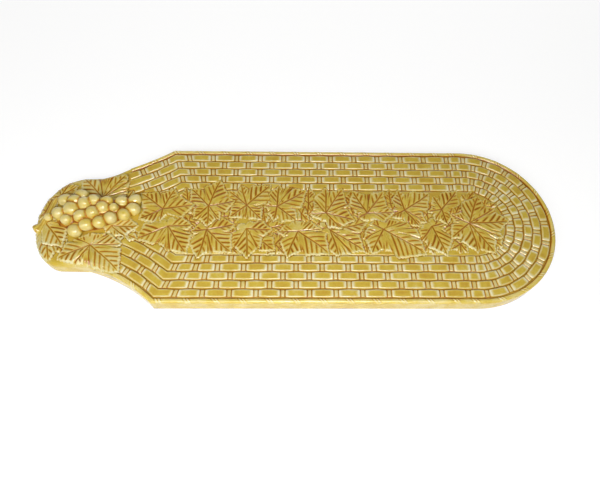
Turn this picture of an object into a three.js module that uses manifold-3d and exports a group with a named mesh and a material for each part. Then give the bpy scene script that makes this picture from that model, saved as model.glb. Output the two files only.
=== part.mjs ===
// A cheese board in honey-glazed earthenware: a slab with a foot ring and a leafy handle,
// five courses of basketwork inside a lashed cane rim, vine leaves pressed down the middle
// and over the handle, and a bunch of grapes on the handle for the hand to hold.
// Millimetres. +X runs from the handle to the round end, +Z is up, the origin is under the middle.
import * as THREE from 'three';
import { mergeVertices } from 'three/addons/utils/BufferGeometryUtils.js';
import Module from 'manifold-3d';

const wasm = await Module();
wasm.setup();

// Slab
const LENGTH = 420;
const HALF_WIDTH = 70.2;
const FLOOR_Z = 13; // the relief's floor, above the table
const RECESS_DEPTH = 3.5; // the hollow back, inside the foot ring
const FOOT_WIDTH = 9; // from the outer wall to the recess
const RECESS_DRAFT = 1;
const FOOT_ROUND = 2;
const HANDLE_ROUND = 2.5; // radius of the handle's upper edge
const HANDLE_LENGTH = 45; // handle tip to neck
const FAR_HANDLE_HALF_WIDTH = 42; // from the axis to the handle's edge at +Y
const NEAR_HANDLE_HALF_WIDTH = 39.5; // the same at -Y
const FAR_END_DEPTH = 36; // depth of the handle's elliptical end at +Y
const NEAR_END_DEPTH = 25; // the same at -Y
const FAR_SHOULDER_LENGTH = 58.5; // neck to straight side at +Y
const NEAR_SHOULDER_LENGTH = 54.5; // the same at -Y
const FAR_SHOULDER_RADIUS = 250;
const NEAR_SHOULDER_RADIUS = 130;

// Basketwork
const RIM_WIDTH = 4.3;
const RIM_RISE = 1.8;
const COURSES = 5;
const COURSE_PITCH = 7.18;
const COURSE_GAP = 0.7; // groove between two courses, and between the rim and the first
const COURSE_DRAFT = 0.5; // how far a strip's sides lean in
const BLOCK_RISE = 1.5;
const STAKE_RISE = 1.3;
const DIP_RISE = 0.5; // the weaver beside a stake
const STAKE_STEP = 10.12; // from one stake to the next along the straight sides
const STAKE_WIDTH = 3.4;
const DIP_WIDTH = 0.8;
const FAN_STEP = 8.6; // degrees from one stake to the next round the end
const WEAVE_START = 24; // neck to where the rim and the outer courses begin
const FAR_LAG = [0, 0, 2, 15, 28]; // how much later each course begins, outermost first, at +Y
const NEAR_LAG = [0, 0, 2, 3, 5]; // the same at -Y
const CORNER_CLEAR = 4; // no stake crosses this near to the shoulder's corner
const LASH_WIDTH = 2.2;
const LASH_RISE = 0.6;
const LASH_SLANT = 40; // degrees off square to the rim

// Leaves
const LEAF_EDGE = 2.1; // thickness at the margin and along the veins
const LEAF_CROWN = 2.9; // thickness between the veins
const HEART_SHARE = 0.3; // least reach of the margin against the longest lobe, where a leaf has no lobe
const LOBE_SLIM = 0.39; // half-width of a lobe against its length
const LOBE_SHOULDER = 0.52; // how far out a lobe is widest
const LOBE_BULGE = 0.85; // below 1 a lobe's sides bulge out towards its tip
const DRAWN_BAND = [280.8, 30]; // the band that leaves are drawn for: basketwork's start to END_X, half-width
const DRAWN_HANDLE = [45, 42, 39.5]; // the handle that they are drawn for: tip to neck, both half-widths
const HANDLE_LEAF_INSET = 1.4; // from the handle's edge
const CLEARANCE = 0.3;
const LEAF_CLEARANCE = 0.45; // from a leaf's margin to the leaf under it

// Grapes
const BUNCH_MIDDLE = [44, 5]; // from the drawn handle's tip
const BUNCH_SPAN = [40, 23]; // half its length and width on the drawn handle
const HEART_SPAN = [32, 12]; // the same for the heap under the berries
const BUNCH_RISE = 15; // the berries' top above the floor
const HEART_RISE = 7;
const BERRY_SEAT = 0.6; // least height of a berry's centre, in its radius
const STEM_RADIUS = 2.6;
const STUB_RADIUS = 3.6;

const TIP_X = -LENGTH / 2;
const END_X = LENGTH / 2 - HALF_WIDTH;
const NECK_X = TIP_X + HANDLE_LENGTH;
const WEAVE_X = NECK_X + WEAVE_START;
const WEAVE_DEPTH = RIM_WIDTH + COURSES * COURSE_PITCH;
const RAD = Math.PI / 180;

// Each leaf is where its veins meet and then its lobes' tips, counted from there. A later leaf lies over
// an earlier one. Leaves of the band are placed from the centre of the round end.
const BAND_LEAVES = [
  [[-164, -7], [[0, 13], [-13, 8], [14, 5], [8, -15], [-9, -14]]],
  [[-131, 17], [[0, 16], [9, -14], [-9, 8], [10, 7], [-3, -20]]],
  [[-96, 12], [[0, 18], [4, -16], [-9, 2], [9, -2]]],
  [[-63, 17], [[0, 14], [3, -15], [-9, 4], [9, 4]]],
  [[-34, 7], [[-10, 10], [11, 13], [3, -15], [-9, -8]]],
  [[-12, 4], [[9, 16], [10, -9], [-6, -20], [-9, 13]]],
  [[-200, 4], [[2, 15], [0, -15], [-12, 0], [12, 2]]],
  [[-228, 0], [[5, 15], [-9, 11], [1, -20], [11, -5]]],
  [[-158, -21], [[7, -9], [-7, -10], [8, 10], [-5, 12]]],
  [[-230, 17], [[-3, 15], [-11, -5], [8, -12], [7, 13]]],
  [[-192, -5], [[0, 11], [0, -12], [-8, 3], [8, 1]]],
  [[-168, 8], [[0, 11], [2, -10], [-8, 1], [8, 2]]],
  [[-125, -3], [[7, 5], [-7, 5], [3, -9], [8, -3]]],
  [[-86, -17], [[0, 15], [1, -13], [-9, 3], [9, -3], [9, 9]]],
  [[-48, 0], [[-9, 3], [9, 2], [7, -10], [-2, -6]]],
  [[-193, -23], [[-6, -7], [6, -7], [0, 9]]],
  [[1, 20], [[8, 10], [-4, 7]]],
  [[13, 10], [[11, 8], [4, 11], [9, -3]]],
  [[15, -12], [[8, -9], [9, -1]]],
  [[-35, -19], [[3, -11], [-9, 4], [9, -9], [-6, -9]]],
  [[-10, -20], [[-9, -5], [-1, -9], [5, -8], [5, 4], [-8, 6]]],
  [[-137, 7], [[0, -11], [6, -7], [3, 7], [-3, 5]]],
  [[-174, -13], [[16, -14], [14, 1], [12, -10]]],
  [[-182, 15], [[-5, 20], [20, 20], [-16, 14], [-14, -12], [13, -14]]],
  [[-181, -7], [[1, -27], [21, -1], [-9, -6], [11, -18], [-11, -17]]],
  [[-157, 14], [[2, 21], [25, 16], [13, 19], [-3, -14], [17, -14], [-11, 0]]],
  [[-213, -8], [[-6, -26], [21, -21], [23, 5], [-13, -2], [5, -22], [10, 6]]],
  [[-213, 14], [[9, 26], [-16, 17], [22, 5], [0, -20], [-12, -12], [10, -13]]],
  [[-244, -5], [[-21, -13], [17, -25], [20, 1], [3, -23], [-9, -16]]],
  [[-250, 11], [[-17, 15], [-3, 14], [9, 20], [26, 4], [-1, -11], [-14, -11]]],
  [[-31, -4], [[9, -27], [-11, -14], [11, -9], [10, 3], [-4, -20]]],
  [[-52, 11], [[-4, 20], [23, 17], [8, 18], [17, -12], [11, -16], [-12, -7]]],
  [[-71, -7], [[-11, -23], [33, -23], [16, 7], [14, -23], [-9, 6], [-17, -9], [30, -9]]],
  [[-114, -8], [[6, -24], [27, -19], [31, 8], [16, -22], [24, -3], [-4, 4]]],
  [[-83, 8], [[-11, 22], [15, 22], [3, 20], [23, 1], [-8, -5], [-12, 9]]],
  [[-140, -9], [[-9, -24], [25, -21], [20, 2], [-17, -1], [8, -21], [8, 6]]],
  [[-117, 8], [[0, 25], [15, 24], [24, -7], [-14, -1], [13, -15], [19, 8], [-10, 12]]],
  [[-21, 12], [[15, 19], [-6, 13], [-12, -2], [-7, -11], [3, -15], [9, 6]]],
  [[0, -1], [[12, 27], [34, 3], [17, -26], [-15, 8], [-17, -14], [25, -12], [2, -24], [22, 13]]],
];
// Leaves of the handle are placed from its tip.
const HANDLE_LEAVES = [
  [[73, -12], [[8, 7], [10, -5], [-8, -4], [-4, 8]]],
  [[70, 21], [[-4, 8], [4, 8], [9, 1]]],
  [[7, 8], [[-4, 8], [-5, -7], [-5, 1]]],
  [[16, 23], [[6, 16], [-8, -3], [-4, 9], [12, 10]]],
  [[50, 21], [[14, 24], [-20, 20], [-6, 21], [17, 6], [4, 23]]],
  [[14, -23], [[9, -15], [-3, -8], [11, -3], [-4, 5]]],
  [[9, -3], [[17, -21], [17, -9], [5, -11], [5, 4]]],
  [[61, -5], [[22, 0], [11, -9], [-4, -6], [14, 6]]],
  [[47, -22], [[-20, -13], [-17, -4], [-12, 6], [25, 1], [26, -24], [1, -17], [12, 10], [24, -12]]],
];
// Each berry: where it lies in the bunch, and its radius. The heap's crown sets its height.
const BERRIES = [
  [-25, -1, 5.6], [-33, -4, 3.6], [-22, 13, 5.6], [-15, 2, 6.8], [-6, -5, 5.6], [-17, -8, 4.8],
  [-10, -16, 6.4], [-1, -12, 6], [9, -10, 6], [3, -2, 6], [10, 3, 5.8], [17, -6, 5.8],
  [26, -2, 5.6], [31, 4, 6.2], [19, 3, 3.8], [22, 11, 5], [31, 13, 5.2], [12, 9, 5],
  [2, 10, 4.8], [-5, 7, 6], [-10, 17, 5.2],
];
const STEM_ROUTE = [[4, -7, 1.5], [7, -1, 2], [8.5, 7, 2], [11, 15, 1.8], [14, 21, 1.2]];

const HONEY = { color: 0xcfab4c, roughness: 0.14 };
const PALE_HONEY = { color: 0xe2c96f, roughness: 0.12 };
const LEAF_HONEY = { color: 0xd2b052, roughness: 0.14 };

// Solids

function toSolid(geometry) {
  const bare = geometry.clone();
  bare.deleteAttribute('normal');
  bare.deleteAttribute('uv');
  const merged = mergeVertices(bare);
  const triVerts = new Uint32Array(merged.index.array);
  const vertProperties = merged.attributes.position.array;
  return new wasm.Manifold(new wasm.Mesh({ numProp: 3, vertProperties, triVerts }));
}

function toGeometry(solid) {
  const { vertProperties, triVerts } = solid.getMesh();
  const geometry = new THREE.BufferGeometry();
  geometry.setAttribute('position', new THREE.BufferAttribute(vertProperties, 3));
  geometry.setIndex(new THREE.BufferAttribute(triVerts, 1));
  geometry.computeVertexNormals();
  return geometry;
}

function indexed(points, triangles) {
  const geometry = new THREE.BufferGeometry();
  geometry.setAttribute('position', new THREE.Float32BufferAttribute(points.flat(), 3));
  geometry.setIndex(triangles);
  geometry.computeVertexNormals();
  return geometry;
}

// A closed skin over rings of equal count, stacked upwards, each counter-clockwise from above.
function ringLoft(rings) {
  const n = rings[0].length;
  const triangles = [];
  for (let k = 0; k + 1 < rings.length; k++) {
    for (let i = 0; i < n; i++) {
      const a = k * n + i;
      const b = k * n + ((i + 1) % n);
      triangles.push(a, b, b + n, a, b + n, a + n);
    }
  }
  const flat = (ring) => ring.map(([x, y]) => new THREE.Vector2(x, y));
  const cap = (ring) => THREE.ShapeUtils.triangulateShape(flat(ring), []);
  const top = (rings.length - 1) * n;
  for (const [a, b, c] of cap(rings[0])) triangles.push(a, c, b);
  for (const [a, b, c] of cap(rings[rings.length - 1])) triangles.push(top + a, top + b, top + c);
  return indexed(rings.flat(), triangles);
}

const raised = (ring, z) => ring.map(([x, y]) => [x, y, z]);
const prism = (ring, low, high) => toSolid(ringLoft([raised(ring, low), raised(ring, high)]));

// All that lies under the relief's floor, for pieces that are seated on it.
const underFloor = () => {
  const block = new THREE.BoxGeometry(2 * LENGTH, 2 * LENGTH, LENGTH);
  return toSolid(block.translate(0, 0, FLOOR_Z - LENGTH / 2));
};

// What is left in one piece when neighbours have been cut away.
const mainBody = (solid) => solid.decompose().sort((a, b) => b.volume() - a.volume())[0];

// The plan: straight sides, a round end, and concave shoulders down to the handle, which differ in size.
// Every edge at a given inset is parallel to the outer one, so all the basketwork follows one plan.
// Side is 1 for +Y and -1 for -Y.

function planSide(handle, depth, shoulderLength, radius) {
  const chord = new THREE.Vector2(shoulderLength, HALF_WIDTH - handle);
  const outward = new THREE.Vector2(-chord.y, chord.x).normalize();
  const away = Math.sqrt(radius ** 2 - chord.lengthSq() / 4);
  const centre = new THREE.Vector2(NECK_X, handle).addScaledVector(chord, 0.5).addScaledVector(outward, away);
  return { handle, depth, radius, centre };
}

const FAR = planSide(FAR_HANDLE_HALF_WIDTH, FAR_END_DEPTH, FAR_SHOULDER_LENGTH, FAR_SHOULDER_RADIUS);
const NEAR = planSide(NEAR_HANDLE_HALF_WIDTH, NEAR_END_DEPTH, NEAR_SHOULDER_LENGTH, NEAR_SHOULDER_RADIUS);
const planOf = (side) => (side > 0 ? FAR : NEAR);

// Angle on a shoulder's arc, at an inset, where it crosses a given Y or a given X.
const angleAtY = ({ centre, radius }, y, inset) => Math.asin((y - centre.y) / (radius + inset));
const angleAtX = ({ centre, radius }, x, inset) => -Math.acos((x - centre.x) / (radius + inset));
const shoulderPoint = ({ centre, radius }, angle, inset) => [
  centre.x + (radius + inset) * Math.cos(angle),
  centre.y + (radius + inset) * Math.sin(angle),
];
const cornerPoint = (plan, inset) => shoulderPoint(plan, angleAtY(plan, HALF_WIDTH - inset, inset), inset);

const onSide = (side, [x, y]) => [x, side * y];
const END_STEPS = 12;
const SHOULDER_STEPS = 5;
const HANDLE_STEPS = 9;
const EDGE_STEPS = 2; // round a rounded edge

// One side of the edge at an inset, from the round end's middle to the handle's tip.
function halfOutline(side, inset) {
  const half = [];
  const r = HALF_WIDTH - inset;
  const plan = planOf(side);
  for (let i = 0; i <= END_STEPS; i++) {
    const angle = (i / END_STEPS) * 90 * RAD;
    half.push([END_X + r * Math.cos(angle), r * Math.sin(angle)]);
  }
  const from = angleAtY(plan, r, inset);
  const to = angleAtY(plan, plan.handle - inset, inset);
  for (let i = 0; i <= SHOULDER_STEPS; i++) {
    half.push(shoulderPoint(plan, from + ((to - from) * i) / SHOULDER_STEPS, inset));
  }
  for (let i = 0; i <= HANDLE_STEPS; i++) {
    const angle = (90 + (90 * i) / HANDLE_STEPS) * RAD;
    const along = (plan.depth - inset) * Math.cos(angle);
    half.push([TIP_X + plan.depth + along, (plan.handle - inset) * Math.sin(angle)]);
  }
  return half.map((point) => onSide(side, point));
}

// The whole edge at an inset, counter-clockwise.
const outline = (inset) => [...halfOutline(1, inset), ...halfOutline(-1, inset).slice(1, -1).reverse()];

// Slab: a rounded foot edge, a rounded upper edge on the handle only, and a recess inside the foot ring.

function slab() {
  const plain = outline(0);
  const handleOnly = (inset) => outline(inset).map((p, i) => (plain[i][0] < WEAVE_X ? p : plain[i]));
  const rings = [];
  for (let i = 0; i <= EDGE_STEPS; i++) {
    const angle = (i / EDGE_STEPS) * 90 * RAD;
    rings.push(raised(outline(FOOT_ROUND * (1 - Math.sin(angle))), FOOT_ROUND * (1 - Math.cos(angle))));
  }
  for (let i = 0; i <= EDGE_STEPS; i++) {
    const angle = (i / EDGE_STEPS) * 90 * RAD;
    const ring = handleOnly(HANDLE_ROUND * (1 - Math.cos(angle)));
    rings.push(raised(ring, FLOOR_Z - HANDLE_ROUND * (1 - Math.sin(angle))));
  }
  const recess = toSolid(ringLoft([
    raised(outline(FOOT_WIDTH - RECESS_DRAFT), -RECESS_DRAFT),
    raised(outline(FOOT_WIDTH), RECESS_DEPTH),
  ]));
  return toGeometry(toSolid(ringLoft(rings)).subtract(recess));
}

// Stations: places along the basketwork. A station gives its point at any inset, so that all the
// edges of a strip turn the corner and the round end together.

const roundStation = (side, degrees) => (inset) => {
  const r = HALF_WIDTH - inset;
  return onSide(side, [END_X + r * Math.cos(degrees * RAD), r * Math.sin(degrees * RAD)]);
};
const sideStation = (side, x) => (inset) => onSide(side, [x, HALF_WIDTH - inset]);
const cornerStation = (side) => (inset) => onSide(side, cornerPoint(planOf(side), inset));
const shoulderStation = (side, angle) => (inset) => onSide(side, shoulderPoint(planOf(side), angle, inset));
const startStation = (side, x) => (inset) => shoulderStation(side, angleAtX(planOf(side), x, inset))(inset);

// Walks one side of the plan at an inset by distance: from the middle of the round end, along the
// straight side and down the shoulder to a given X.
function walk(side, inset, startX) {
  const r = HALF_WIDTH - inset;
  const plan = planOf(side);
  const arc = plan.radius + inset;
  const quarter = (Math.PI / 2) * r;
  const corner = quarter + END_X - cornerPoint(plan, inset)[0];
  const first = angleAtY(plan, r, inset);
  const end = corner + (first - angleAtX(plan, startX, inset)) * arc;
  const station = (s) => {
    if (s < quarter) return roundStation(side, s / r / RAD);
    if (s < corner) return sideStation(side, END_X - (s - quarter));
    return shoulderStation(side, first - (s - corner) / arc);
  };
  return { r, quarter, corner, end, station };
}

// Distances of the stakes that show on a course: every second stake, the next course taking the others.
function stakes(path, course) {
  const odd = course % 2;
  const fan = [];
  for (let i = odd ? 0 : 1; i * FAN_STEP < 90 + FAN_STEP; i += 2) fan.push(i * FAN_STEP * RAD * path.r);
  const straight = [];
  for (let j = odd ? 1 : 2; path.quarter + j * STAKE_STEP < path.end - STAKE_STEP / 2; j += 2) {
    straight.push(path.quarter + j * STAKE_STEP);
  }
  const afterFan = fan[fan.length - 1] + STAKE_STEP / 2;
  const all = [...fan, ...straight.filter((s) => s > afterFan)];
  return all.filter((s) => Math.abs(s - path.corner) > CORNER_CLEAR);
}

// A woven strip as one closed body. Each place is a station with the strip's height there and its distance
// along the strip; where foot is set the strip's underside turns too.
function strip(places, outer, inner) {
  const points = [];
  const triangles = [];
  const add = ([x, y], z) => points.push([x, y, z]) - 1;
  const rows = places.map(({ along, station, rise, foot }) => {
    const lean = (COURSE_DRAFT * rise) / BLOCK_RISE;
    const top = [outer + lean, inner - lean].map((inset) => add(station(inset), FLOOR_Z + rise));
    const under = foot ? [outer, inner].map((inset) => add(station(inset), FLOOR_Z)) : null;
    return { along, rise, top, under };
  });
  const feet = [...rows.keys()].filter((i) => rows[i].under);
  for (let k = 0; k + 1 < feet.length; k++) {
    const span = rows.slice(feet[k], feet[k + 1] + 1);
    const [a, b] = [span[0], span[span.length - 1]];
    for (let i = 0; i + 1 < span.length; i++) {
      const [p, q] = [span[i].top, span[i + 1].top];
      triangles.push(p[0], p[1], q[1], p[0], q[1], q[0]);
    }
    triangles.push(a.under[0], b.under[1], a.under[1], a.under[0], b.under[0], b.under[1]);
    const back = span.toReversed();
    const side = [[a.along, 0], [b.along, 0], ...back.map(({ along, rise }) => [along, rise])];
    const wall = (edge) => [a.under[edge], b.under[edge], ...back.map(({ top }) => top[edge])];
    const [outside, inside] = [wall(0), wall(1)];
    for (const [i, j, l] of THREE.ShapeUtils.triangulateShape(side.map((p) => new THREE.Vector2(...p)), [])) {
      triangles.push(outside[i], outside[l], outside[j], inside[i], inside[j], inside[l]);
    }
  }
  const [first, last] = [rows[0], rows[rows.length - 1]];
  triangles.push(first.under[0], first.under[1], first.top[1], first.under[0], first.top[1], first.top[0]);
  triangles.push(last.under[0], last.top[1], last.under[1], last.under[0], last.top[0], last.top[1]);
  return indexed(points, triangles);
}

const courseOuter = (number) => RIM_WIDTH + (number - 1) * COURSE_PITCH + COURSE_GAP / 2;
const courseInner = (number) => RIM_WIDTH + number * COURSE_PITCH - COURSE_GAP / 2;
const courseStart = (number, side) => WEAVE_X + (side > 0 ? FAR_LAG : NEAR_LAG)[number - 1];

function course(number) {
  const outer = courseOuter(number);
  const inner = courseInner(number);
  const bar = STAKE_WIDTH / 2;
  const [far, near] = [1, -1].map((side) => {
    const startX = courseStart(number, side);
    const path = walk(side, (outer + inner) / 2, startX);
    const places = [];
    const put = (s, rise, foot, station = path.station(s)) => {
      if (s >= 0) places.push({ along: -side * s, rise, foot, station });
    };
    put(path.corner, BLOCK_RISE, true, cornerStation(side));
    put(path.end, BLOCK_RISE, true, startStation(side, startX));
    const shown = stakes(path, number);
    shown.forEach((s, i) => {
      put(s - bar - DIP_WIDTH, BLOCK_RISE, false);
      put(s - bar, DIP_RISE, false);
      put(s, STAKE_RISE, false);
      put(s + bar, DIP_RISE, false);
      const onCurve = s < path.quarter || s > path.corner;
      put(s + bar + DIP_WIDTH, BLOCK_RISE, onCurve || i % 2 === 0);
      const middle = i > 0 ? (shown[i - 1] + s) / 2 : 0;
      if (middle < path.quarter && (i > 0 || s > 0)) put(middle, BLOCK_RISE, true);
    });
    return places.sort((a, b) => a.along - b.along);
  });
  return strip([...far, ...near.filter(({ along }) => along > 0)], outer, inner);
}

// Rim: half an oval laid along the slab's edge, with a slanted lashing over it at every second stake.

const ROLL_STEPS = 4;
const RIM_STEP = 9; // degrees

function rim() {
  const width = RIM_WIDTH - COURSE_GAP / 2;
  const section = [];
  for (let i = 0; i <= ROLL_STEPS; i++) {
    const angle = (i / ROLL_STEPS) * Math.PI;
    section.push([(width / 2) * (1 - Math.cos(angle)), FLOOR_Z + RIM_RISE * Math.sin(angle)]);
  }
  const half = (side) => {
    const path = walk(side, 0, WEAVE_X);
    const stations = [];
    for (let degrees = 0; degrees < 90; degrees += RIM_STEP) stations.push(roundStation(side, degrees));
    stations.push(roundStation(side, 90), cornerStation(side));
    for (let i = 1; i < SHOULDER_STEPS; i++) {
      stations.push(path.station(path.corner + ((path.end - path.corner) * i) / SHOULDER_STEPS));
    }
    return [...stations, startStation(side, WEAVE_X)];
  };
  const stations = [...half(1).reverse(), ...half(-1).slice(1)];
  const rows = stations.map((station) => section.map(([inset, z]) => [...station(inset), z]));
  const n = section.length;
  const triangles = [];
  for (let k = 0; k + 1 < rows.length; k++) {
    for (let i = 0; i < n; i++) {
      const a = k * n + i;
      const b = k * n + ((i + 1) % n);
      triangles.push(a, b, b + n, a, b + n, a + n);
    }
  }
  const last = (rows.length - 1) * n;
  for (let i = 1; i + 1 < n; i++) triangles.push(0, i + 1, i, last, last + i, last + i + 1);
  let solid = toSolid(indexed(rows.flat(), triangles));
  for (const side of [1, -1]) {
    const path = walk(side, width / 2, WEAVE_X);
    for (const s of stakes(path, 0)) solid = solid.add(lashing(path.station(s), width));
  }
  return toGeometry(solid.subtract(underFloor()));
}

// One lashing: a flat oval wrap that lies slanted over the rim and stays inside its width.
function lashing(station, width) {
  const [x, y] = station(width / 2);
  const [outerX, outerY] = station(0);
  const slant = LASH_SLANT * RAD;
  const wrap = new THREE.CylinderGeometry(1, 1, LASH_WIDTH, 4).rotateZ(Math.PI / 2);
  wrap.scale(1, (width - LASH_WIDTH * Math.sin(slant)) / 2 / Math.cos(slant), RIM_RISE + LASH_RISE);
  wrap.rotateZ(Math.atan2(outerY - y, outerX - x) - Math.PI / 2 + slant);
  return toSolid(wrap.translate(x, y, FLOOR_Z));
}

// Leaves

// How far a lobe reaches at an angle off its midrib: drawn in at its foot, and pointed from its shoulders on.
const LOBE_TAPER = LOBE_SLIM / (1 - LOBE_SHOULDER);
const LOBE_WIDEST = LOBE_SLIM / LOBE_SHOULDER;

function lobeReach(length, off) {
  if (Math.cos(off) <= 0) return 0;
  const slope = Math.tan(Math.abs(off));
  const toTip = (LOBE_TAPER / (slope + LOBE_TAPER)) ** LOBE_BULGE;
  const toFoot = LOBE_SHOULDER ** LOBE_BULGE * (LOBE_WIDEST / slope) ** 2;
  return (length * (slope < LOBE_WIDEST ? toTip : toFoot)) / Math.cos(off);
}

const MARGIN_STEP = 70 * RAD; // from a lobe's tip to the notch beside it, at most
const NOTCH_HALVINGS = 24; // to find where two lobes meet

// The margin round a leaf, from lobe to lobe: angle, reach, and how far it is from the nearest midrib.
function leafMargin(tips) {
  const lobes = tips.map(([x, y]) => ({ angle: Math.atan2(y, x), length: Math.hypot(x, y) }));
  lobes.sort((a, b) => a.angle - b.angle);
  const heart = HEART_SHARE * Math.max(...lobes.map((lobe) => lobe.length));
  const reachAt = (angle) => {
    const off = (lobe) => Math.atan2(Math.sin(angle - lobe.angle), Math.cos(angle - lobe.angle));
    return Math.max(heart, ...lobes.map((lobe) => lobeReach(lobe.length, off(lobe))));
  };
  return lobes.flatMap((lobe, i) => {
    const next = lobes[(i + 1) % lobes.length];
    const gap = (next.angle - lobe.angle + 2 * Math.PI) % (2 * Math.PI);
    let [low, high] = [0, gap];
    for (let k = 0; k < NOTCH_HALVINGS; k++) {
      const middle = (low + high) / 2;
      if (lobeReach(lobe.length, middle) > lobeReach(next.length, gap - middle)) low = middle;
      else high = middle;
    }
    const notch = low;
    const points = [];
    for (const [from, to] of [[0, notch], [notch, gap]]) {
      const steps = Math.ceil((to - from) / MARGIN_STEP);
      for (let k = 0; k < steps; k++) {
        const along = from + ((to - from) * k) / steps;
        const angle = lobe.angle + along;
        points.push({ angle, reach: reachAt(angle), onVein: along === 0 });
      }
    }
    return points;
  });
}

// Where a point drawn on the band, counted from END_X, lies on the board.
function onBand([x, y]) {
  const [length, halfWidth] = DRAWN_BAND;
  const across = (HALF_WIDTH - WEAVE_DEPTH) / halfWidth;
  const along = x > 0 ? across : (END_X - WEAVE_X) / length;
  return [END_X + along * x, across * y];
}

// The same for a point drawn on the handle, counted from its tip.
const handleStretch = HANDLE_LENGTH / DRAWN_HANDLE[0];
function onHandle([x, y]) {
  const [, far, near] = DRAWN_HANDLE;
  const across = y > 0 ? FAR_HANDLE_HALF_WIDTH / far : NEAR_HANDLE_HALF_WIDTH / near;
  return [TIP_X + handleStretch * x, across * y];
}

const leafRing = ({ centre: [cx, cy], margin, onBoard }, reach) =>
  margin.map((at) => onBoard([cx + reach(at) * Math.cos(at.angle), cy + reach(at) * Math.sin(at.angle)]));

const CROWN_SHARE = 0.55; // how far out a leaf is thickest

function leafSolid(leaf) {
  const { margin } = leaf;
  const middle = leaf.onBoard(leaf.centre);
  const edge = leafRing(leaf, ({ reach }) => reach);
  const crown = leafRing(leaf, ({ reach }) => CROWN_SHARE * reach);
  const rise = (i) => FLOOR_Z + (margin[i].onVein ? LEAF_EDGE : LEAF_CROWN);
  const swell = crown.map((point, i) => [...point, rise(i)]);
  const rings = [raised(edge, FLOOR_Z), raised(edge, FLOOR_Z + LEAF_EDGE), swell];
  const n = margin.length;
  const points = [...rings.flat(), [...middle, FLOOR_Z + LEAF_EDGE], [...middle, FLOOR_Z]];
  const [top, foot] = [3 * n, 3 * n + 1];
  const triangles = [];
  for (let i = 0; i < n; i++) {
    const j = (i + 1) % n;
    for (const k of [0, n]) triangles.push(k + i, k + j, k + n + j, k + i, k + n + j, k + n + i);
    triangles.push(2 * n + i, 2 * n + j, top, j, i, foot);
  }
  return toSolid(indexed(points, triangles));
}

// What a leaf takes out of the leaves under it.
function leafCutter(leaf) {
  const ring = leafRing(leaf, ({ reach }) => reach + LEAF_CLEARANCE);
  return prism(ring, FLOOR_Z - CLEARANCE, FLOOR_Z + LEAF_CROWN + CLEARANCE);
}

// The room over a band of the basketwork, up to a height: a leaf that reaches over a course lies on top of
// its blocks, and it stops at the rim.
function bandRoom(outer, inner, rise, startX) {
  const half = (side) => {
    const start = startX(side) - CLEARANCE;
    const path = walk(side, outer, start);
    const stations = [startStation(side, start)];
    for (let i = 1; i < SHOULDER_STEPS; i++) {
      stations.push(path.station(path.end + ((path.corner - path.end) * i) / SHOULDER_STEPS));
    }
    stations.push(cornerStation(side));
    for (let i = 0; i <= END_STEPS; i++) stations.push(roundStation(side, 90 - (90 * i) / END_STEPS));
    return stations;
  };
  const stations = [...half(-1), ...half(1).reverse().slice(1)];
  const outside = stations.map((station) => station(outer - CLEARANCE));
  const inside = stations.map((station) => station(inner + CLEARANCE));
  return prism([...outside, ...inside.reverse()], FLOOR_Z - CLEARANCE, FLOOR_Z + rise + CLEARANCE);
}

function basketRooms() {
  const rooms = [bandRoom(0, RIM_WIDTH - COURSE_GAP / 2, LEAF_CROWN, () => WEAVE_X)];
  for (let number = 1; number <= COURSES; number++) {
    const startX = (side) => courseStart(number, side);
    rooms.push(bandRoom(courseOuter(number), courseInner(number), BLOCK_RISE, startX));
  }
  return rooms;
}

// Grapes and stem

const bunch = new THREE.Vector2(...onHandle(BUNCH_MIDDLE));

const berries = BERRIES.map(([dx, dy, size]) => {
  const [x, y] = onHandle([BUNCH_MIDDLE[0] + dx, BUNCH_MIDDLE[1] + dy]);
  const radius = handleStretch * size;
  const out = Math.hypot(dx / BUNCH_SPAN[0], dy / BUNCH_SPAN[1]);
  const crown = BUNCH_RISE * Math.sqrt(Math.max(0, 1 - out ** 2));
  return { x, y, z: FLOOR_Z + Math.max(radius * BERRY_SEAT, crown - radius), radius };
});

const [heartLength, heartWidth] = HEART_SPAN.map((span) => handleStretch * span);
const ROOM_HEIGHT = 4 * BUNCH_RISE;
const HEART_SIDES = 32;
const BERRY_SIDES = 12;

function grapeBunch() {
  const heart = new THREE.IcosahedronGeometry(1, 1).scale(heartLength, heartWidth, HEART_RISE);
  let solid = toSolid(heart.translate(bunch.x, bunch.y, FLOOR_Z));
  for (const { x, y, z, radius } of berries) {
    solid = solid.add(toSolid(new THREE.IcosahedronGeometry(radius, 1).translate(x, y, z)));
  }
  return solid.subtract(underFloor());
}

// The room that the heap and its berries take out of the leaves and the stem round them.
function bunchRooms() {
  const room = (x, y, along, across, sides) => {
    const post = new THREE.CylinderGeometry(1, 1, ROOM_HEIGHT, sides).rotateX(Math.PI / 2);
    return toSolid(post.scale(along + CLEARANCE, across + CLEARANCE, 1).translate(x, y, FLOOR_Z));
  };
  const heart = room(bunch.x, bunch.y, heartLength, heartWidth, HEART_SIDES);
  return [heart, ...berries.map(({ x, y, radius }) => room(x, y, radius, radius, BERRY_SIDES))];
}

const STEM_STEPS = 6;
const STEM_SIDES = 10;

// The stub at the handle's tip and the stem that runs up beside the bunch, grown by a margin.
function vineStem(grow) {
  const route = new THREE.CatmullRomCurve3(
    STEM_ROUTE.map(([x, y, z]) => new THREE.Vector3(...onHandle([x, y]), FLOOR_Z + z)),
  );
  const section = new THREE.Shape().absarc(0, 0, STEM_RADIUS + grow, 0, 2 * Math.PI);
  const along = { steps: STEM_STEPS, curveSegments: STEM_SIDES / 2, extrudePath: route };
  const tube = new THREE.ExtrudeGeometry(section, along);
  const stub = new THREE.IcosahedronGeometry(STUB_RADIUS + grow, 1);
  const [x, y, z] = STEM_ROUTE[0];
  stub.translate(...onHandle([x, y]), FLOOR_Z + z);
  return toSolid(tube).add(toSolid(stub));
}

// Assembly

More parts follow.
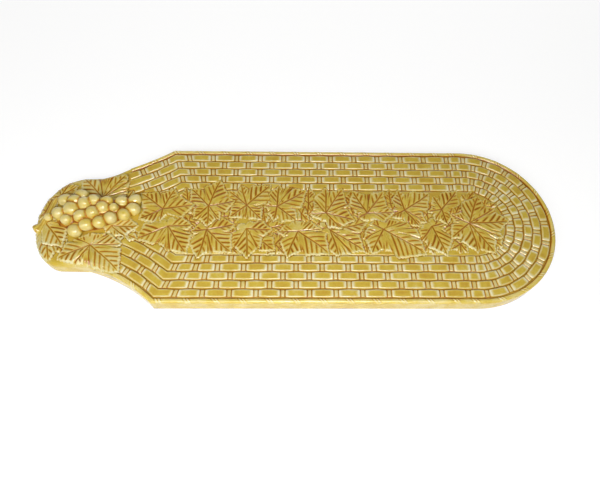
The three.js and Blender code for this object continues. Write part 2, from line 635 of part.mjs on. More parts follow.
const board = new THREE.Group();
function place(name, geometry, { color, roughness }) {
  const material = new THREE.MeshStandardMaterial({ color, roughness, metalness: 0 });
  const mesh = new THREE.Mesh(geometry, material);
  mesh.name = name;
  board.add(mesh);
}

place('slab', slab(), HONEY);
place('rim_cane', rim(), PALE_HONEY);
for (let number = 1; number <= COURSES; number++) place(`weave_course_${number}`, course(number), HONEY);

const rooms = bunchRooms();
const withoutBerries = (solid) => rooms.reduce((left, room) => left.subtract(room), solid);

const drawn = (kind, leaves, onBoard) => leaves.map(([centre, tips], i) => ({
  name: `${kind}_${String(i + 1).padStart(2, '0')}`,
  centre,
  margin: leafMargin(tips),
  onBoard,
}));
const leaves = [...drawn('band_leaf', BAND_LEAVES, onBand), ...drawn('handle_leaf', HANDLE_LEAVES, onHandle)];
const cutters = leaves.map(leafCutter);
const taken = [vineStem(CLEARANCE), ...basketRooms()];
const topFace = prism(outline(HANDLE_LEAF_INSET), FLOOR_Z, FLOOR_Z + BUNCH_RISE);
leaves.forEach((leaf, i) => {
  const over = [...cutters.slice(i + 1), ...taken];
  const shown = over.reduce((left, cutter) => left.subtract(cutter), leafSolid(leaf).intersect(topFace));
  place(leaf.name, toGeometry(mainBody(withoutBerries(shown))), LEAF_HONEY);
});

place('vine_stem', toGeometry(mainBody(withoutBerries(vineStem(0).subtract(underFloor())))), PALE_HONEY);
place('grape_bunch', toGeometry(mainBody(grapeBunch())), PALE_HONEY);

export default board;
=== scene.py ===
"""Dresses the honey-glazed cheese board: slab, cane rim, basketwork, vine leaves, stem and grapes.

Sizes are in millimetres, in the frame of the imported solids, and become metres when a piece is pressed.
"""
import logging
import math
from dataclasses import dataclass, field
from enum import Enum

import bpy
import numpy as np
from mathutils import Matrix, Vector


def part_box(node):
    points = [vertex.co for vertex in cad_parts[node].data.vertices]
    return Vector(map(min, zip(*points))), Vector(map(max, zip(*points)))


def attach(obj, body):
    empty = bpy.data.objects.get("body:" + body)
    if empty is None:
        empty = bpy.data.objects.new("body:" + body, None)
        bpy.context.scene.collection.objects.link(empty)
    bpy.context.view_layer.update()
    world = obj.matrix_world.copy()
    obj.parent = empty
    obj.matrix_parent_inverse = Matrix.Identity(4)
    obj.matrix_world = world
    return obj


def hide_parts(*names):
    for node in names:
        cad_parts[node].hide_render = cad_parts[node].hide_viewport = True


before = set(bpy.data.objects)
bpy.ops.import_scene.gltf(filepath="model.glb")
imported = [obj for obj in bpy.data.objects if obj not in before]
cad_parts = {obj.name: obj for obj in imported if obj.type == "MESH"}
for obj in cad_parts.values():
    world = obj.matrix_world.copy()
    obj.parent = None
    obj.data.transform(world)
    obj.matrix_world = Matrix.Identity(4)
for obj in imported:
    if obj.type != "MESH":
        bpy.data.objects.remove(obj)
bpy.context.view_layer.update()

Array = np.ndarray
MM = 0.001
SEAM = 2e-6  # vertices closer than this, in metres, are one
GLAZE = "glaze"
log = logging.getLogger("cheese_board")


class Side(Enum):
    """The board's two long sides, with the sign of their Y."""

    FAR = 1
    NEAR = -1


class Slot(Enum):
    """The record's material slots."""

    HONEY = "honey_glaze"
    PALE = "pale_glaze"
    LEAF = "leaf_glaze"


def smooth_step(low: float, high: float, value: Array) -> Array:
    """Eases from 0 at low to 1 at high.

    Args:
        low: Where the step begins.
        high: Where it ends.
        value: Where to read it.

    Returns:
        The eased share, of value's shape.
    """
    share = np.clip((value - low) / (high - low), 0.0, 1.0)
    return share * share * (3.0 - 2.0 * share)


def bump_at(middle: float, width: float, value: Array) -> Array:
    """Gives a soft bump of height 1 at middle, width wide to each side."""
    return np.exp(-(((value - middle) / width) ** 2))


def quarter_round(depth: Array, radius: float) -> Array:
    """Gives the height, from 0 to 1, of a rounded edge at a depth in from it."""
    return np.sqrt(1.0 - (1.0 - np.clip(depth / radius, 0.0, 1.0)) ** 2)


# Clay: raw primitives that the pieces are pressed from


def deselect_all() -> None:
    """Deselects every object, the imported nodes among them."""
    bpy.ops.object.select_all(action="DESELECT")


def named(name: str) -> bpy.types.Object:
    """Names the primitive that was just added, and its mesh."""
    piece = bpy.context.object
    piece.name = name
    piece.data.name = name
    return piece


def vertex_places(piece: bpy.types.Object) -> Array:
    """Reads a piece's vertices as rows of x, y and z."""
    flat = np.empty(3 * len(piece.data.vertices))
    piece.data.vertices.foreach_get("co", flat)
    return flat.reshape(-1, 3)


def clay_ball(name: str, segments: int, rings: int) -> tuple[bpy.types.Object, Array, Array]:
    """Adds a ball of clay that a disc-like piece is pressed from.

    Args:
        name: The piece's name.
        segments: Vertices round the ball.
        rings: Bands from its top to its bottom.

    Returns:
        The piece, and each vertex's ring, from 0 at the top, and its segment.
    """
    deselect_all()
    bpy.ops.mesh.primitive_uv_sphere_add(segments=segments, ring_count=rings, radius=1.0)
    piece = named(name)
    at = vertex_places(piece)
    ring = np.rint(np.arccos(np.clip(at[:, 2], -1.0, 1.0)) / math.pi * rings).astype(int)
    turn = np.arctan2(at[:, 1], at[:, 0]) / (2.0 * math.pi) * segments
    return piece, ring, np.rint(turn).astype(int) % segments


def clay_strip(name: str, along: int, around: int) -> tuple[bpy.types.Object, Array, Array]:
    """Adds a sheet of clay that a strip or a roll is formed from.

    Args:
        name: The piece's name.
        along: Faces along the strip.
        around: Faces round its section.

    Returns:
        The piece, and each vertex's place along the strip and round its section.
    """
    deselect_all()
    bpy.ops.mesh.primitive_grid_add(x_subdivisions=along, y_subdivisions=around, size=2.0)
    piece = named(name)
    at = vertex_places(piece)
    column = np.rint((at[:, 0] + 1.0) / 2.0 * along).astype(int)
    row = np.rint((at[:, 1] + 1.0) / 2.0 * around).astype(int)
    return piece, column, row


def press(piece: bpy.types.Object, x: Array, y: Array, z: Array) -> None:
    """Moves a piece's vertices to places in millimetres."""
    places = np.column_stack([x, y, z]) * MM
    piece.data.vertices.foreach_set("co", places.ravel())
    piece.data.update()


def paint(piece: bpy.types.Object, thickness: Array) -> None:
    """Stores how thick the glaze lies, from 0 thin to 1 pooled, on a piece's vertices; some pieces add painted
    shadow and highlight to it.
    """
    layer = piece.data.attributes.new(GLAZE, "FLOAT", "POINT")
    layer.data.foreach_set("value", np.clip(thickness, 0.0, 1.0).astype(np.float32))


def close_seams(piece: bpy.types.Object) -> None:
    """Merges a piece's doubled vertices, fills its open ends and turns its faces outwards.

    Args:
        piece: The piece, which is the active object.
    """
    bpy.ops.object.mode_set(mode="EDIT")
    bpy.ops.mesh.select_all(action="SELECT")
    bpy.ops.mesh.remove_doubles(threshold=SEAM)
    bpy.ops.mesh.fill_holes(sides=0)
    bpy.ops.mesh.select_all(action="SELECT")
    bpy.ops.mesh.normals_make_consistent(inside=False)
    bpy.ops.object.mode_set(mode="OBJECT")


# Finishes


def linear(code: str) -> tuple[float, float, float, float]:
    """Turns an sRGB hex value into linear red, green, blue and alpha."""
    parts = [int(code[i:i + 2], 16) / 255.0 for i in (1, 3, 5)]
    lit = [p / 12.92 if p <= 0.04045 else ((p + 0.055) / 1.055) ** 2.4 for p in parts]
    return lit[0], lit[1], lit[2], 1.0


def add_node(tree: bpy.types.NodeTree, kind: str, settings: dict, links: dict) -> bpy.types.Node:
    """Adds a shader node.

    Args:
        tree: The material's node tree.
        kind: The node's type.
        settings: Attributes by name, and values of input sockets under their own names.
        links: The output socket that feeds each input socket, by the input's name.

    Returns:
        The node.
    """
    node = tree.nodes.new(kind)
    for key, value in settings.items():
        if isinstance(key, int) or key in node.inputs:
            node.inputs[key].default_value = value
        else:
            setattr(node, key, value)
    for key, source in links.items():
        tree.links.new(source, node.inputs[key])
    return node


@dataclass(frozen=True)
class GlazeFinish:
    """Clear honey glaze over pale earthenware, dipped and fired.

    The glaze runs off the edges, which stay pale, and pools amber to brown in the grooves.
    """

    name: str
    thin: str
    body: str
    amber: str
    pooled: str
    roughness: float = 0.11
    mottle_mm: float = 11.0
    mottle_share: float = 0.16
    speck_mm: float = 1.4
    speck_share: float = 0.07
    ripple_mm: float = 2.6
    ripple_depth_mm: float = 0.02

    def material(self) -> bpy.types.Material:
        """Builds the glaze as a node material."""
        material = bpy.data.materials.new(self.name)
        material.use_nodes = True
        tree = material.node_tree
        shader = tree.nodes["Principled BSDF"]
        place = add_node(tree, "ShaderNodeTexCoord", {}, {}).outputs["Object"]
        depth = add_node(tree, "ShaderNodeAttribute", {"attribute_name": GLAZE}, {}).outputs["Fac"]
        # Uneven dipping: broad clouds of thicker and thinner glaze, and fine specks in it
        for size, share in ((self.mottle_mm, self.mottle_share), (self.speck_mm, self.speck_share)):
            cloud = add_node(tree, "ShaderNodeTexNoise", {"Scale": 1.0 / (size * MM), "Detail": 2.0},
                             {"Vector": place})
            swing = add_node(tree, "ShaderNodeMapRange", {"To Min": -share, "To Max": share},
                             {"Value": cloud.outputs["Fac"]})
            depth = add_node(tree, "ShaderNodeMath", {"operation": "ADD"},
                             {0: depth, 1: swing.outputs[0]}).outputs[0]
        ramp = add_node(tree, "ShaderNodeValToRGB", {}, {"Fac": depth})
        stops = ramp.color_ramp.elements
        stops[0].position = 0.0
        stops[0].color = linear(self.thin)
        stops[1].position = 1.0
        stops[1].color = linear(self.pooled)
        stops.new(0.36).color = linear(self.body)
        stops.new(0.66).color = linear(self.amber)
        ripple = add_node(tree, "ShaderNodeTexNoise", {"Scale": 1.0 / (self.ripple_mm * MM), "Detail": 1.0},
                          {"Vector": place})
        bump = add_node(tree, "ShaderNodeBump", {"Distance": self.ripple_depth_mm * MM, "Strength": 1.0},
                        {"Height": ripple.outputs["Fac"]})
        tree.links.new(ramp.outputs["Color"], shader.inputs["Base Color"])
        tree.links.new(bump.outputs["Normal"], shader.inputs["Normal"])
        shader.inputs["Roughness"].default_value = self.roughness
        shader.inputs["IOR"].default_value = 1.5
        return material


@dataclass(frozen=True)
class BisqueFinish:
    """Unglazed fired earthenware, wiped clean where the board stands: matt, warm and slightly sandy."""

    name: str = "bisque_earthenware_wiped"
    pale: str = "#e6d6bd"
    warm: str = "#d5bd98"
    grit_mm: float = 0.9
    grit_depth_mm: float = 0.05
    cloud_mm: float = 14.0

    def material(self) -> bpy.types.Material:
        """Builds the bare clay as a node material."""
        material = bpy.data.materials.new(self.name)
        material.use_nodes = True
        tree = material.node_tree
        shader = tree.nodes["Principled BSDF"]
        place = add_node(tree, "ShaderNodeTexCoord", {}, {}).outputs["Object"]
        cloud = add_node(tree, "ShaderNodeTexNoise", {"Scale": 1.0 / (self.cloud_mm * MM), "Detail": 4.0},
                         {"Vector": place})
        ramp = add_node(tree, "ShaderNodeValToRGB", {}, {"Fac": cloud.outputs["Fac"]})
        ramp.color_ramp.elements[0].color = linear(self.warm)
        ramp.color_ramp.elements[1].color = linear(self.pale)
        grit = add_node(tree, "ShaderNodeTexNoise", {"Scale": 1.0 / (self.grit_mm * MM), "Detail": 2.0},
                        {"Vector": place})
        bump = add_node(tree, "ShaderNodeBump", {"Distance": self.grit_depth_mm * MM, "Strength": 1.0},
                        {"Height": grit.outputs["Fac"]})
        tree.links.new(ramp.outputs["Color"], shader.inputs["Base Color"])
        tree.links.new(bump.outputs["Normal"], shader.inputs["Normal"])
        shader.inputs["Roughness"].default_value = 0.85
        return material


FINISHES = {
    Slot.HONEY: GlazeFinish("earthenware_honey_glaze", "#eeeccb", "#d0b445", "#b07420", "#814a12"),
    Slot.PALE: GlazeFinish("earthenware_pale_honey_glaze", "#eeebc8", "#dcc254", "#b77a20", "#8c5012"),
    Slot.LEAF: GlazeFinish("earthenware_leaf_honey_glaze", "#ece9c0", "#d1b649", "#b0721c", "#864c12"),
}


@dataclass
class Dresser:
    """Hands a finished piece its glaze, its body and the solid that it stands for."""

    glazes: dict[Slot, bpy.types.Material] = field(default_factory=dict)

    def dress(self, piece: bpy.types.Object, slot: Slot, node: str) -> None:
        """Dresses a piece.

        Args:
            piece: The finished piece.
            slot: The record's slot that it takes its finish from.
            node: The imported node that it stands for.
        """
        if slot not in self.glazes:
            self.glazes[slot] = FINISHES[slot].material()
        deselect_all()
        piece.select_set(True)
        bpy.context.view_layer.objects.active = piece
        bpy.ops.object.shade_smooth()
        piece.data.materials.append(self.glazes[slot])
        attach(piece, "root")
        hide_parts(node)
        log.info("%s stands for %s with %d faces", piece.name, node, len(piece.data.polygons))


# The plan that all the pieces follow


@dataclass(frozen=True)
class Flank:
    """One side of the handle, and the shoulder above it."""

    handle_half_width: float
    end_depth: float
    shoulder_length: float
    shoulder_radius: float


@dataclass(frozen=True)
class Plan:
    """The board's plan: straight sides, a round end, concave shoulders and a handle."""

    length: float
    half_width: float
    floor: float
    handle_length: float = 45.0
    far: Flank = Flank(42.0, 36.0, 58.5, 250.0)
    near: Flank = Flank(39.5, 25.0, 54.5, 130.0)

    @property
    def tip_x(self) -> float:
        """The handle's tip."""
        return -self.length / 2.0

    @property
    def end_x(self) -> float:
        """The centre of the round end."""
        return self.length / 2.0 - self.half_width

    @property
    def neck_x(self) -> float:
        """Where the handle meets the shoulders."""
        return self.tip_x + self.handle_length

    def flank(self, side: Side) -> Flank:
        """Gives one side's sizes."""
        return self.far if side is Side.FAR else self.near

    def shoulder_centre(self, side: Side) -> tuple[float, float]:
        """Gives the centre of a shoulder's arc, with Y counted outwards."""
        flank = self.flank(side)
        chord = np.array([flank.shoulder_length, self.half_width - flank.handle_half_width])
        outward = np.array([-chord[1], chord[0]]) / np.hypot(*chord)
        away = math.sqrt(flank.shoulder_radius**2 - chord @ chord / 4.0)
        middle = np.array([self.neck_x, flank.handle_half_width]) + chord / 2.0 + outward * away
        return float(middle[0]), float(middle[1])

    def angle_at_y(self, side: Side, y: Array, inset: Array) -> Array:
        """Gives the angle on a shoulder's arc, at an inset, where it reaches a given Y."""
        return np.arcsin((y - self.shoulder_centre(side)[1]) / (self.flank(side).shoulder_radius + inset))

    def angle_at_x(self, side: Side, x: float, inset: Array) -> Array:
        """Gives the angle on a shoulder's arc, at an inset, where it reaches a given X."""
        return -np.arccos((x - self.shoulder_centre(side)[0]) / (self.flank(side).shoulder_radius + inset))

    def shoulder_point(self, side: Side, angle: Array, inset: Array) -> tuple[Array, Array]:
        """Gives the place on a shoulder at an angle and an inset, with Y counted outwards."""
        radius = self.flank(side).shoulder_radius + inset
        x, y = self.shoulder_centre(side)
        return x + radius * np.cos(angle), y + radius * np.sin(angle)

    def corner_x(self, side: Side, inset: Array) -> Array:
        """Gives where a straight side ends, at an inset."""
        return self.shoulder_point(side, self.angle_at_y(side, self.half_width - inset, inset), inset)[0]

    def flank_inset(self, side: Side, x: Array, y: Array) -> Array:
        """Gives how far inside one side's edge a place on the handle or the shoulder lies."""
        flank = self.flank(side)
        along = np.minimum(x - self.tip_x - flank.end_depth, 0.0) / flank.end_depth
        end = (1.0 - np.hypot(along, y / flank.handle_half_width)) * flank.end_depth
        centre = self.shoulder_centre(side)
        shoulder = np.hypot(x - centre[0], np.abs(y) - centre[1]) - flank.shoulder_radius
        on_handle = np.where(along < 0, end, flank.handle_half_width - np.abs(y))
        return np.where(x > self.neck_x, shoulder, on_handle)

    def handle_inset(self, x: Array, y: Array) -> Array:
        """Gives how far inside the edge a place on the handle or a shoulder lies."""
        return np.where(y > 0, self.flank_inset(Side.FAR, x, y), self.flank_inset(Side.NEAR, x, y))

    def outline(self, side: Side, inset: float, counts: tuple[int, int, int, int]) -> Array:
        """Walks one side of the edge from the round end's middle to the handle's tip.

        Args:
            side: Which side.
            inset: How far inside the edge.
            counts: Steps round the end, along the straight, down the shoulder and round the handle.

        Returns:
            Rows of x and y.
        """
        end, straight, shoulder, handle = counts
        flank = self.flank(side)
        radius = self.half_width - inset
        turn = np.linspace(0.0, math.pi / 2.0, end, endpoint=False)
        rows = [np.column_stack([self.end_x + radius * np.cos(turn), radius * np.sin(turn)])]
        line = np.linspace(self.end_x, self.corner_x(side, inset), straight, endpoint=False)
        rows.append(np.column_stack([line, np.full(straight, radius)]))
        last = self.angle_at_y(side, flank.handle_half_width - inset, inset)
        sweep = np.linspace(self.angle_at_y(side, radius, inset), last, shoulder, endpoint=False)
        rows.append(np.column_stack(self.shoulder_point(side, sweep, inset)))
        turn = np.linspace(math.pi / 2.0, math.pi, handle + 1)
        rows.append(np.column_stack([self.tip_x + flank.end_depth + (flank.end_depth - inset) * np.cos(turn),
                                     (flank.handle_half_width - inset) * np.sin(turn)]))
        return np.vstack(rows) * np.array([1.0, side.value])


@dataclass(frozen=True)
class Path:
    """One side of the plan at an inset, walked by distance from the middle of the round end."""

    plan: Plan
    side: Side
    inset: float
    start_x: float
    lean_from: float = 46.0
    lean_past: float = 26.0

    @property
    def radius(self) -> float:
        """The round end's radius at the inset."""
        return self.plan.half_width - self.inset

    @property
    def quarter(self) -> float:
        """The distance to the start of the straight."""
        return math.pi / 2.0 * self.radius

    @property
    def corner(self) -> float:
        """The distance to the shoulder's corner."""
        return self.quarter + self.plan.end_x - float(self.plan.corner_x(self.side, self.inset))

    @property
    def end(self) -> float:
        """The distance to the end at the handle."""
        first = self.plan.angle_at_y(self.side, self.radius, self.inset)
        last = self.plan.angle_at_x(self.side, self.start_x, self.inset)
        return self.corner + float(first - last) * (self.plan.flank(self.side).shoulder_radius + self.inset)

    def places(self, distance: Array, inset: Array) -> tuple[Array, Array]:
        """Gives places beside the path. The lines across it lean over gradually towards the corner.

        Args:
            distance: How far along the path.
            inset: The inset of each place.

        Returns:
            Their x and y.
        """
        plan = self.plan
        turn = np.minimum(distance, self.quarter) / self.radius
        reach = plan.half_width - inset
        x = plan.end_x + reach * np.cos(turn)
        y = reach * np.sin(turn)
        leaning = smooth_step(-self.lean_from, 0.0, distance - self.corner)
        aside = plan.corner_x(self.side, inset) - plan.corner_x(self.side, self.inset)
        on_straight = distance > self.quarter
        x = np.where(on_straight, plan.end_x - (distance - self.quarter) + aside * leaning, x)
        y = np.where(on_straight, reach, y)
        past = distance - self.corner
        first = plan.angle_at_y(self.side, self.radius, self.inset)
        settled = first - past / (plan.flank(self.side).shoulder_radius + self.inset)
        aside = plan.angle_at_y(self.side, reach, inset) - first
        angle = settled + aside * (1.0 - smooth_step(0.0, self.lean_past, past))
        bend_x, bend_y = plan.shoulder_point(self.side, angle, inset)
        on_shoulder = distance > self.corner
        return np.where(on_shoulder, bend_x, x), self.side.value * np.where(on_shoulder, bend_y, y)


# Leaves


@dataclass(frozen=True)
class Leaf:
    """A vine leaf: where its veins meet, and its lobes' tips counted from there."""

    node: str
    centre: tuple[float, float]
    tips: tuple[tuple[float, float], ...]
    lobe_slim: float = 0.36
    lobe_shoulder: float = 0.52
    lobe_bulge: float = 0.84
    heart_share: float = 0.30
    edge: float = 1.9
    crown: float = 0.8
    glaze: float = 0.35

    @property
    def angles(self) -> Array:
        """The lobes' directions."""
        return np.array([math.atan2(y, x) for x, y in self.tips])

    @property
    def lengths(self) -> Array:
        """The lobes' lengths."""
        return np.array([math.hypot(x, y) for x, y in self.tips])

    def lobe_reaches(self, angle: Array) -> tuple[Array, Array]:
        """Gives how far each lobe reaches in a direction.

        Args:
            angle: Directions from the centre.

        Returns:
            Each lobe's reach, and the direction off its midrib, with one column for each lobe.
        """
        off = angle[:, None] - self.angles[None, :]
        off = np.arctan2(np.sin(off), np.cos(off))
        facing = np.abs(off) < math.radians(85.0)
        turned = np.where(facing, np.abs(off), 0.0)
        slope = np.maximum(np.tan(turned), 1e-6)
        taper = self.lobe_slim / (1.0 - self.lobe_shoulder)
        to_tip = (taper / (slope + taper)) ** self.lobe_bulge
        widest = self.lobe_slim / self.lobe_shoulder
        to_foot = self.lobe_shoulder**self.lobe_bulge * (widest / slope) ** 2
        filled = np.where(slope < widest, to_tip, to_foot)
        return np.where(facing, self.lengths[None, :] * filled / np.cos(turned), 0.0), off

    def reach(self, angle: Array) -> Array:
        """Gives how far the leaf reaches in a direction, least of all away from every lobe."""
        reaches, off = self.lobe_reaches(angle)
        heart = 0.35 + 0.65 * smooth_step(-0.6, 0.4, np.cos(off).max(axis=1))
        return np.maximum(reaches.max(axis=1), self.heart_share * self.lengths.max() * heart)

    def seams(self) -> Array:
        """Gives the directions of the clefts between neighbouring lobes."""
        turn = np.linspace(-math.pi, math.pi, 1440, endpoint=False)
        reaches, off = self.lobe_reaches(turn)
        owner = np.where(reaches.max(axis=1) > 0.0, reaches.argmax(axis=1), np.abs(off).argmin(axis=1))
        return turn[owner != np.roll(owner, 1)]

    def inside(self, x: Array, y: Array) -> Array:
        """Gives how deep inside the leaf a place lies, less than 0 outside it."""
        away_x, away_y = x - self.centre[0], y - self.centre[1]
        return self.reach(np.arctan2(away_y, away_x)) - np.hypot(away_x, away_y)


@dataclass
class LeafSpray:
    """The vine leaves, in the order in which they were pressed on, each over the ones before it."""

    plan: Plan
    leaves: list[Leaf]
    dresser: Dresser
    edge_inset: float = 0.4
    tooth_pitch: float = 2.6
    tooth_depth: float = 0.95
    sway_length: float = 9.0
    sway_depth: float = 0.3
    margin_step: float = 0.5
    ring_step: float = 0.62
    curl: float = 0.05
    vein_lean: float = 44.0
    vein_pitch: float = 5.6
    foot: float = 0.3
    droop: float = 2.6
    droop_width: float = 4.5

    def margin(self, leaf: Leaf) -> Array:
        """Traces a leaf's toothed margin at even steps, kept inside the board's edge.

        Args:
            leaf: The leaf.

        Returns:
            Rows of x and y from the leaf's centre, counter-clockwise.
        """
        angle = np.linspace(-math.pi, math.pi, 2880, endpoint=False)
        reach = leaf.reach(angle)
        share = np.linspace(0.02, 1.0, 50)
        ray = reach[:, None] * share[None, :]
        x = leaf.centre[0] + ray * np.cos(angle)[:, None]
        y = leaf.centre[1] + ray * np.sin(angle)[:, None]
        clear = (self.plan.handle_inset(x, y) > self.edge_inset) | (x > self.plan.neck_x + 40.0)
        reach = reach * share[np.maximum(clear.cumprod(axis=1).sum(axis=1) - 1, 0)]
        points = np.column_stack([reach * np.cos(angle), reach * np.sin(angle)])
        loop = np.vstack([points, points[:1]])
        arc = np.concatenate([[0.0], np.cumsum(np.hypot(*np.diff(loop, axis=0).T))])
        count = max(60, int(arc[-1] / self.margin_step))
        step = np.linspace(0.0, arc[-1], count, endpoint=False)
        even = np.column_stack([np.interp(step, arc, loop[:, 0]), np.interp(step, arc, loop[:, 1])])
        ahead = np.roll(even, -1, axis=0) - np.roll(even, 1, axis=0)
        ahead /= np.hypot(*ahead.T)[:, None]
        teeth = max(8, round(arc[-1] / self.tooth_pitch))
        beat = teeth * step / arc[-1] + 0.18 * np.sin(step / 5.0)
        size = 0.9 + 0.25 * np.sin(2.4 * np.floor(beat) + leaf.centre[0])
        tooth = self.tooth_depth * (size * np.abs(np.sin(math.pi * beat)) - 0.55)
        waves = max(4, round(arc[-1] / self.sway_length))
        sway = self.sway_depth * np.sin(2.0 * math.pi * waves * step / arc[-1] + leaf.centre[0])
        return even + np.column_stack([ahead[:, 1], -ahead[:, 0]]) * (tooth + sway)[:, None]

    def relief(self, leaf: Leaf, x: Array, y: Array, share: Array) -> tuple[Array, Array]:
        """Models a leaf's upper face: midribs, side veins, puffed panels and a lip.

        Args:
            leaf: The leaf.
            x: Places from its centre.
            y: Places from its centre.
            share: How far out to the margin each place is, from 0 to 1.

        Returns:
            The height over the floor, and how thick the glaze lies, painted paler as a highlight on the margins
            that face the near side.
        """
        # Facing is 1 where the margin looks towards the near side, where the front lights stand; it sets a
        # painted highlight there
        angle = np.arctan2(y, x)
        facing = 0.5 - 0.5 * np.sin(angle)
        angle = angle + self.curl * np.sin(math.pi * share) * np.sin(2.0 * angle + leaf.centre[0])
        away = np.hypot(x, y)
        reaches, off = leaf.lobe_reaches(angle)
        owner = np.where(reaches.max(axis=1) > 0.0, reaches.argmax(axis=1), np.abs(off).argmin(axis=1))
        off = off[np.arange(len(owner)), owner]
        length = leaf.lengths[owner]
        along = away * np.cos(off)
        across = away * np.sin(off)
        beside = np.abs(across)
        rim = (1.0 - share) * leaf.reach(angle) * 0.8
        bend = angle[:, None] - leaf.seams()[None, :]
        cleft = away[:, None] * np.abs(np.sin(bend)) + 60.0 * (np.cos(bend) < 0.0)
        cleft = cleft.min(axis=1)
        opened = smooth_step(0.55, 0.9, share)
        # Side veins leave the midrib at an angle, a little unevenly, and stop short of the margin
        midrib = bump_at(0.0, 0.50, across) * (1.0 - smooth_step(0.82, 0.97, along / length))
        lean = math.radians(self.vein_lean)
        pitch = np.clip(length / 4.7, 3.4, self.vein_pitch)
        phase = (along - beside / math.tan(lean) - 0.006 * beside**2) / pitch + 0.22 * np.sign(across)
        line = np.rint(phase)
        chance = np.sin(12.9 * line + 4.1 * owner + 7.3 * np.sign(across) + leaf.centre[0])
        from_vein = np.abs(phase - line - 0.12 * chance) * pitch * math.sin(lean)
        edge = np.minimum(rim, np.where(share > 0.3, cleft, 9.0))
        within = smooth_step(0.45, 1.5, beside) * smooth_step(0.7, 2.4, edge)
        within = within * (line > 0.4) * (line * pitch < 0.84 * length) * (0.8 + 0.2 * chance)
        vein = bump_at(0.0, 1.0, from_vein / (0.34 + 0.36 * within)) * within
        puff = (0.5 - 0.5 * np.cos(2.0 * math.pi * phase)) * within
        bowl = np.sin(math.pi * np.clip(share, 0.0, 1.0) ** 0.8) * smooth_step(0.0, 4.0, beside)
        groove = bump_at(0.0, 0.5, cleft) * opened
        lip = np.maximum(bump_at(0.8, 0.75, rim), bump_at(1.3, 0.6, cleft) * opened)
        fall = (1.0 - np.clip(rim / 0.9, 0.0, 1.0)) ** 2
        height = leaf.edge + leaf.crown * bowl * 0.6 + 0.16 * puff + 0.18 * lip
        height = height - 0.34 * midrib - 0.30 * vein - 0.8 * fall - 0.9 * groove
        glaze = leaf.glaze + 0.04 * bowl + 0.54 * midrib + 0.62 * vein - 0.08 * puff + 0.40 * groove
        # The lip stays pale where the glaze breaks over it; the extra paleness on near-facing margins is a
        # painted highlight
        return height, glaze - (0.07 + 0.09 * facing) * lip - 0.08 * facing * fall

    def sunk(self, leaf_index: int, x: Array, y: Array) -> tuple[Array, Array]:
        """Gives how far later leaves press a place down, and the painted shadow that they cast round their
        margins.

        Args:
            leaf_index: The leaf that the place is on, or -1 for what lies under every leaf.
            x: Places on the board.
            y: Places on the board.

        Returns:
            The depth, and the added thickness of glaze that paints that shadow.
        """
        depth = np.zeros(len(x))
        margin_shadow = np.zeros(len(x))
        low = np.array([x.min(), y.min()])
        high = np.array([x.max(), y.max()])
        for other in self.leaves[leaf_index + 1:]:
            far = other.lengths.max() + 3.0
            if np.any(np.array(other.centre) + far < low) or np.any(np.array(other.centre) - far > high):
                continue
            near = np.hypot(x - other.centre[0], y - other.centre[1]) < far
            inside = other.inside(x[near], y[near])
            depth[near] = np.maximum(depth[near], 1.0 * smooth_step(-2.2, 0.3, inside) + 0.5 * (inside > 0.6))
            # Painted shadow: the glaze darkens in a band just outside each later leaf's margin
            margin_shadow[near] = np.maximum(margin_shadow[near], smooth_step(-1.1, 0.0, inside))
        return depth, margin_shadow

    def build(self) -> None:
        """Presses and dresses every leaf."""
        for index, leaf in enumerate(self.leaves):
            margin = self.margin(leaf)
            rings = max(8, int(np.hypot(*margin.T).max() / self.ring_step))
            piece, ring, segment = clay_ball(f"pressed_{leaf.node}", len(margin), rings + 2)
            share = np.clip(ring / rings, 0.0, 1.0)
            share = np.where(ring == rings + 2, 0.0, share)
            x = margin[segment, 0] * share
            y = margin[segment, 1] * share
            height, glaze = self.relief(leaf, x, y, share)
            on_x, on_y = x + leaf.centre[0], y + leaf.centre[1]
            depth, margin_shadow = self.sunk(index, on_x, on_y)
            height = np.maximum(height - depth, 0.25)
            inset = np.where(on_x < self.plan.neck_x + 40.0, self.plan.handle_inset(on_x, on_y), 99.0)
            droop = self.droop * (1.0 - smooth_step(0.0, self.droop_width, inset))
            foot = ring > rings
            z = self.plan.floor - droop + np.where(foot, -self.foot, height)
            press(piece, on_x, on_y, z)
            # The margin shadow is painted shade cast by the leaves pressed on later
            paint(piece, np.where(foot, 0.9, glaze + 0.40 * margin_shadow))
            self.dresser.dress(piece, Slot.LEAF, leaf.node)


# Basketwork


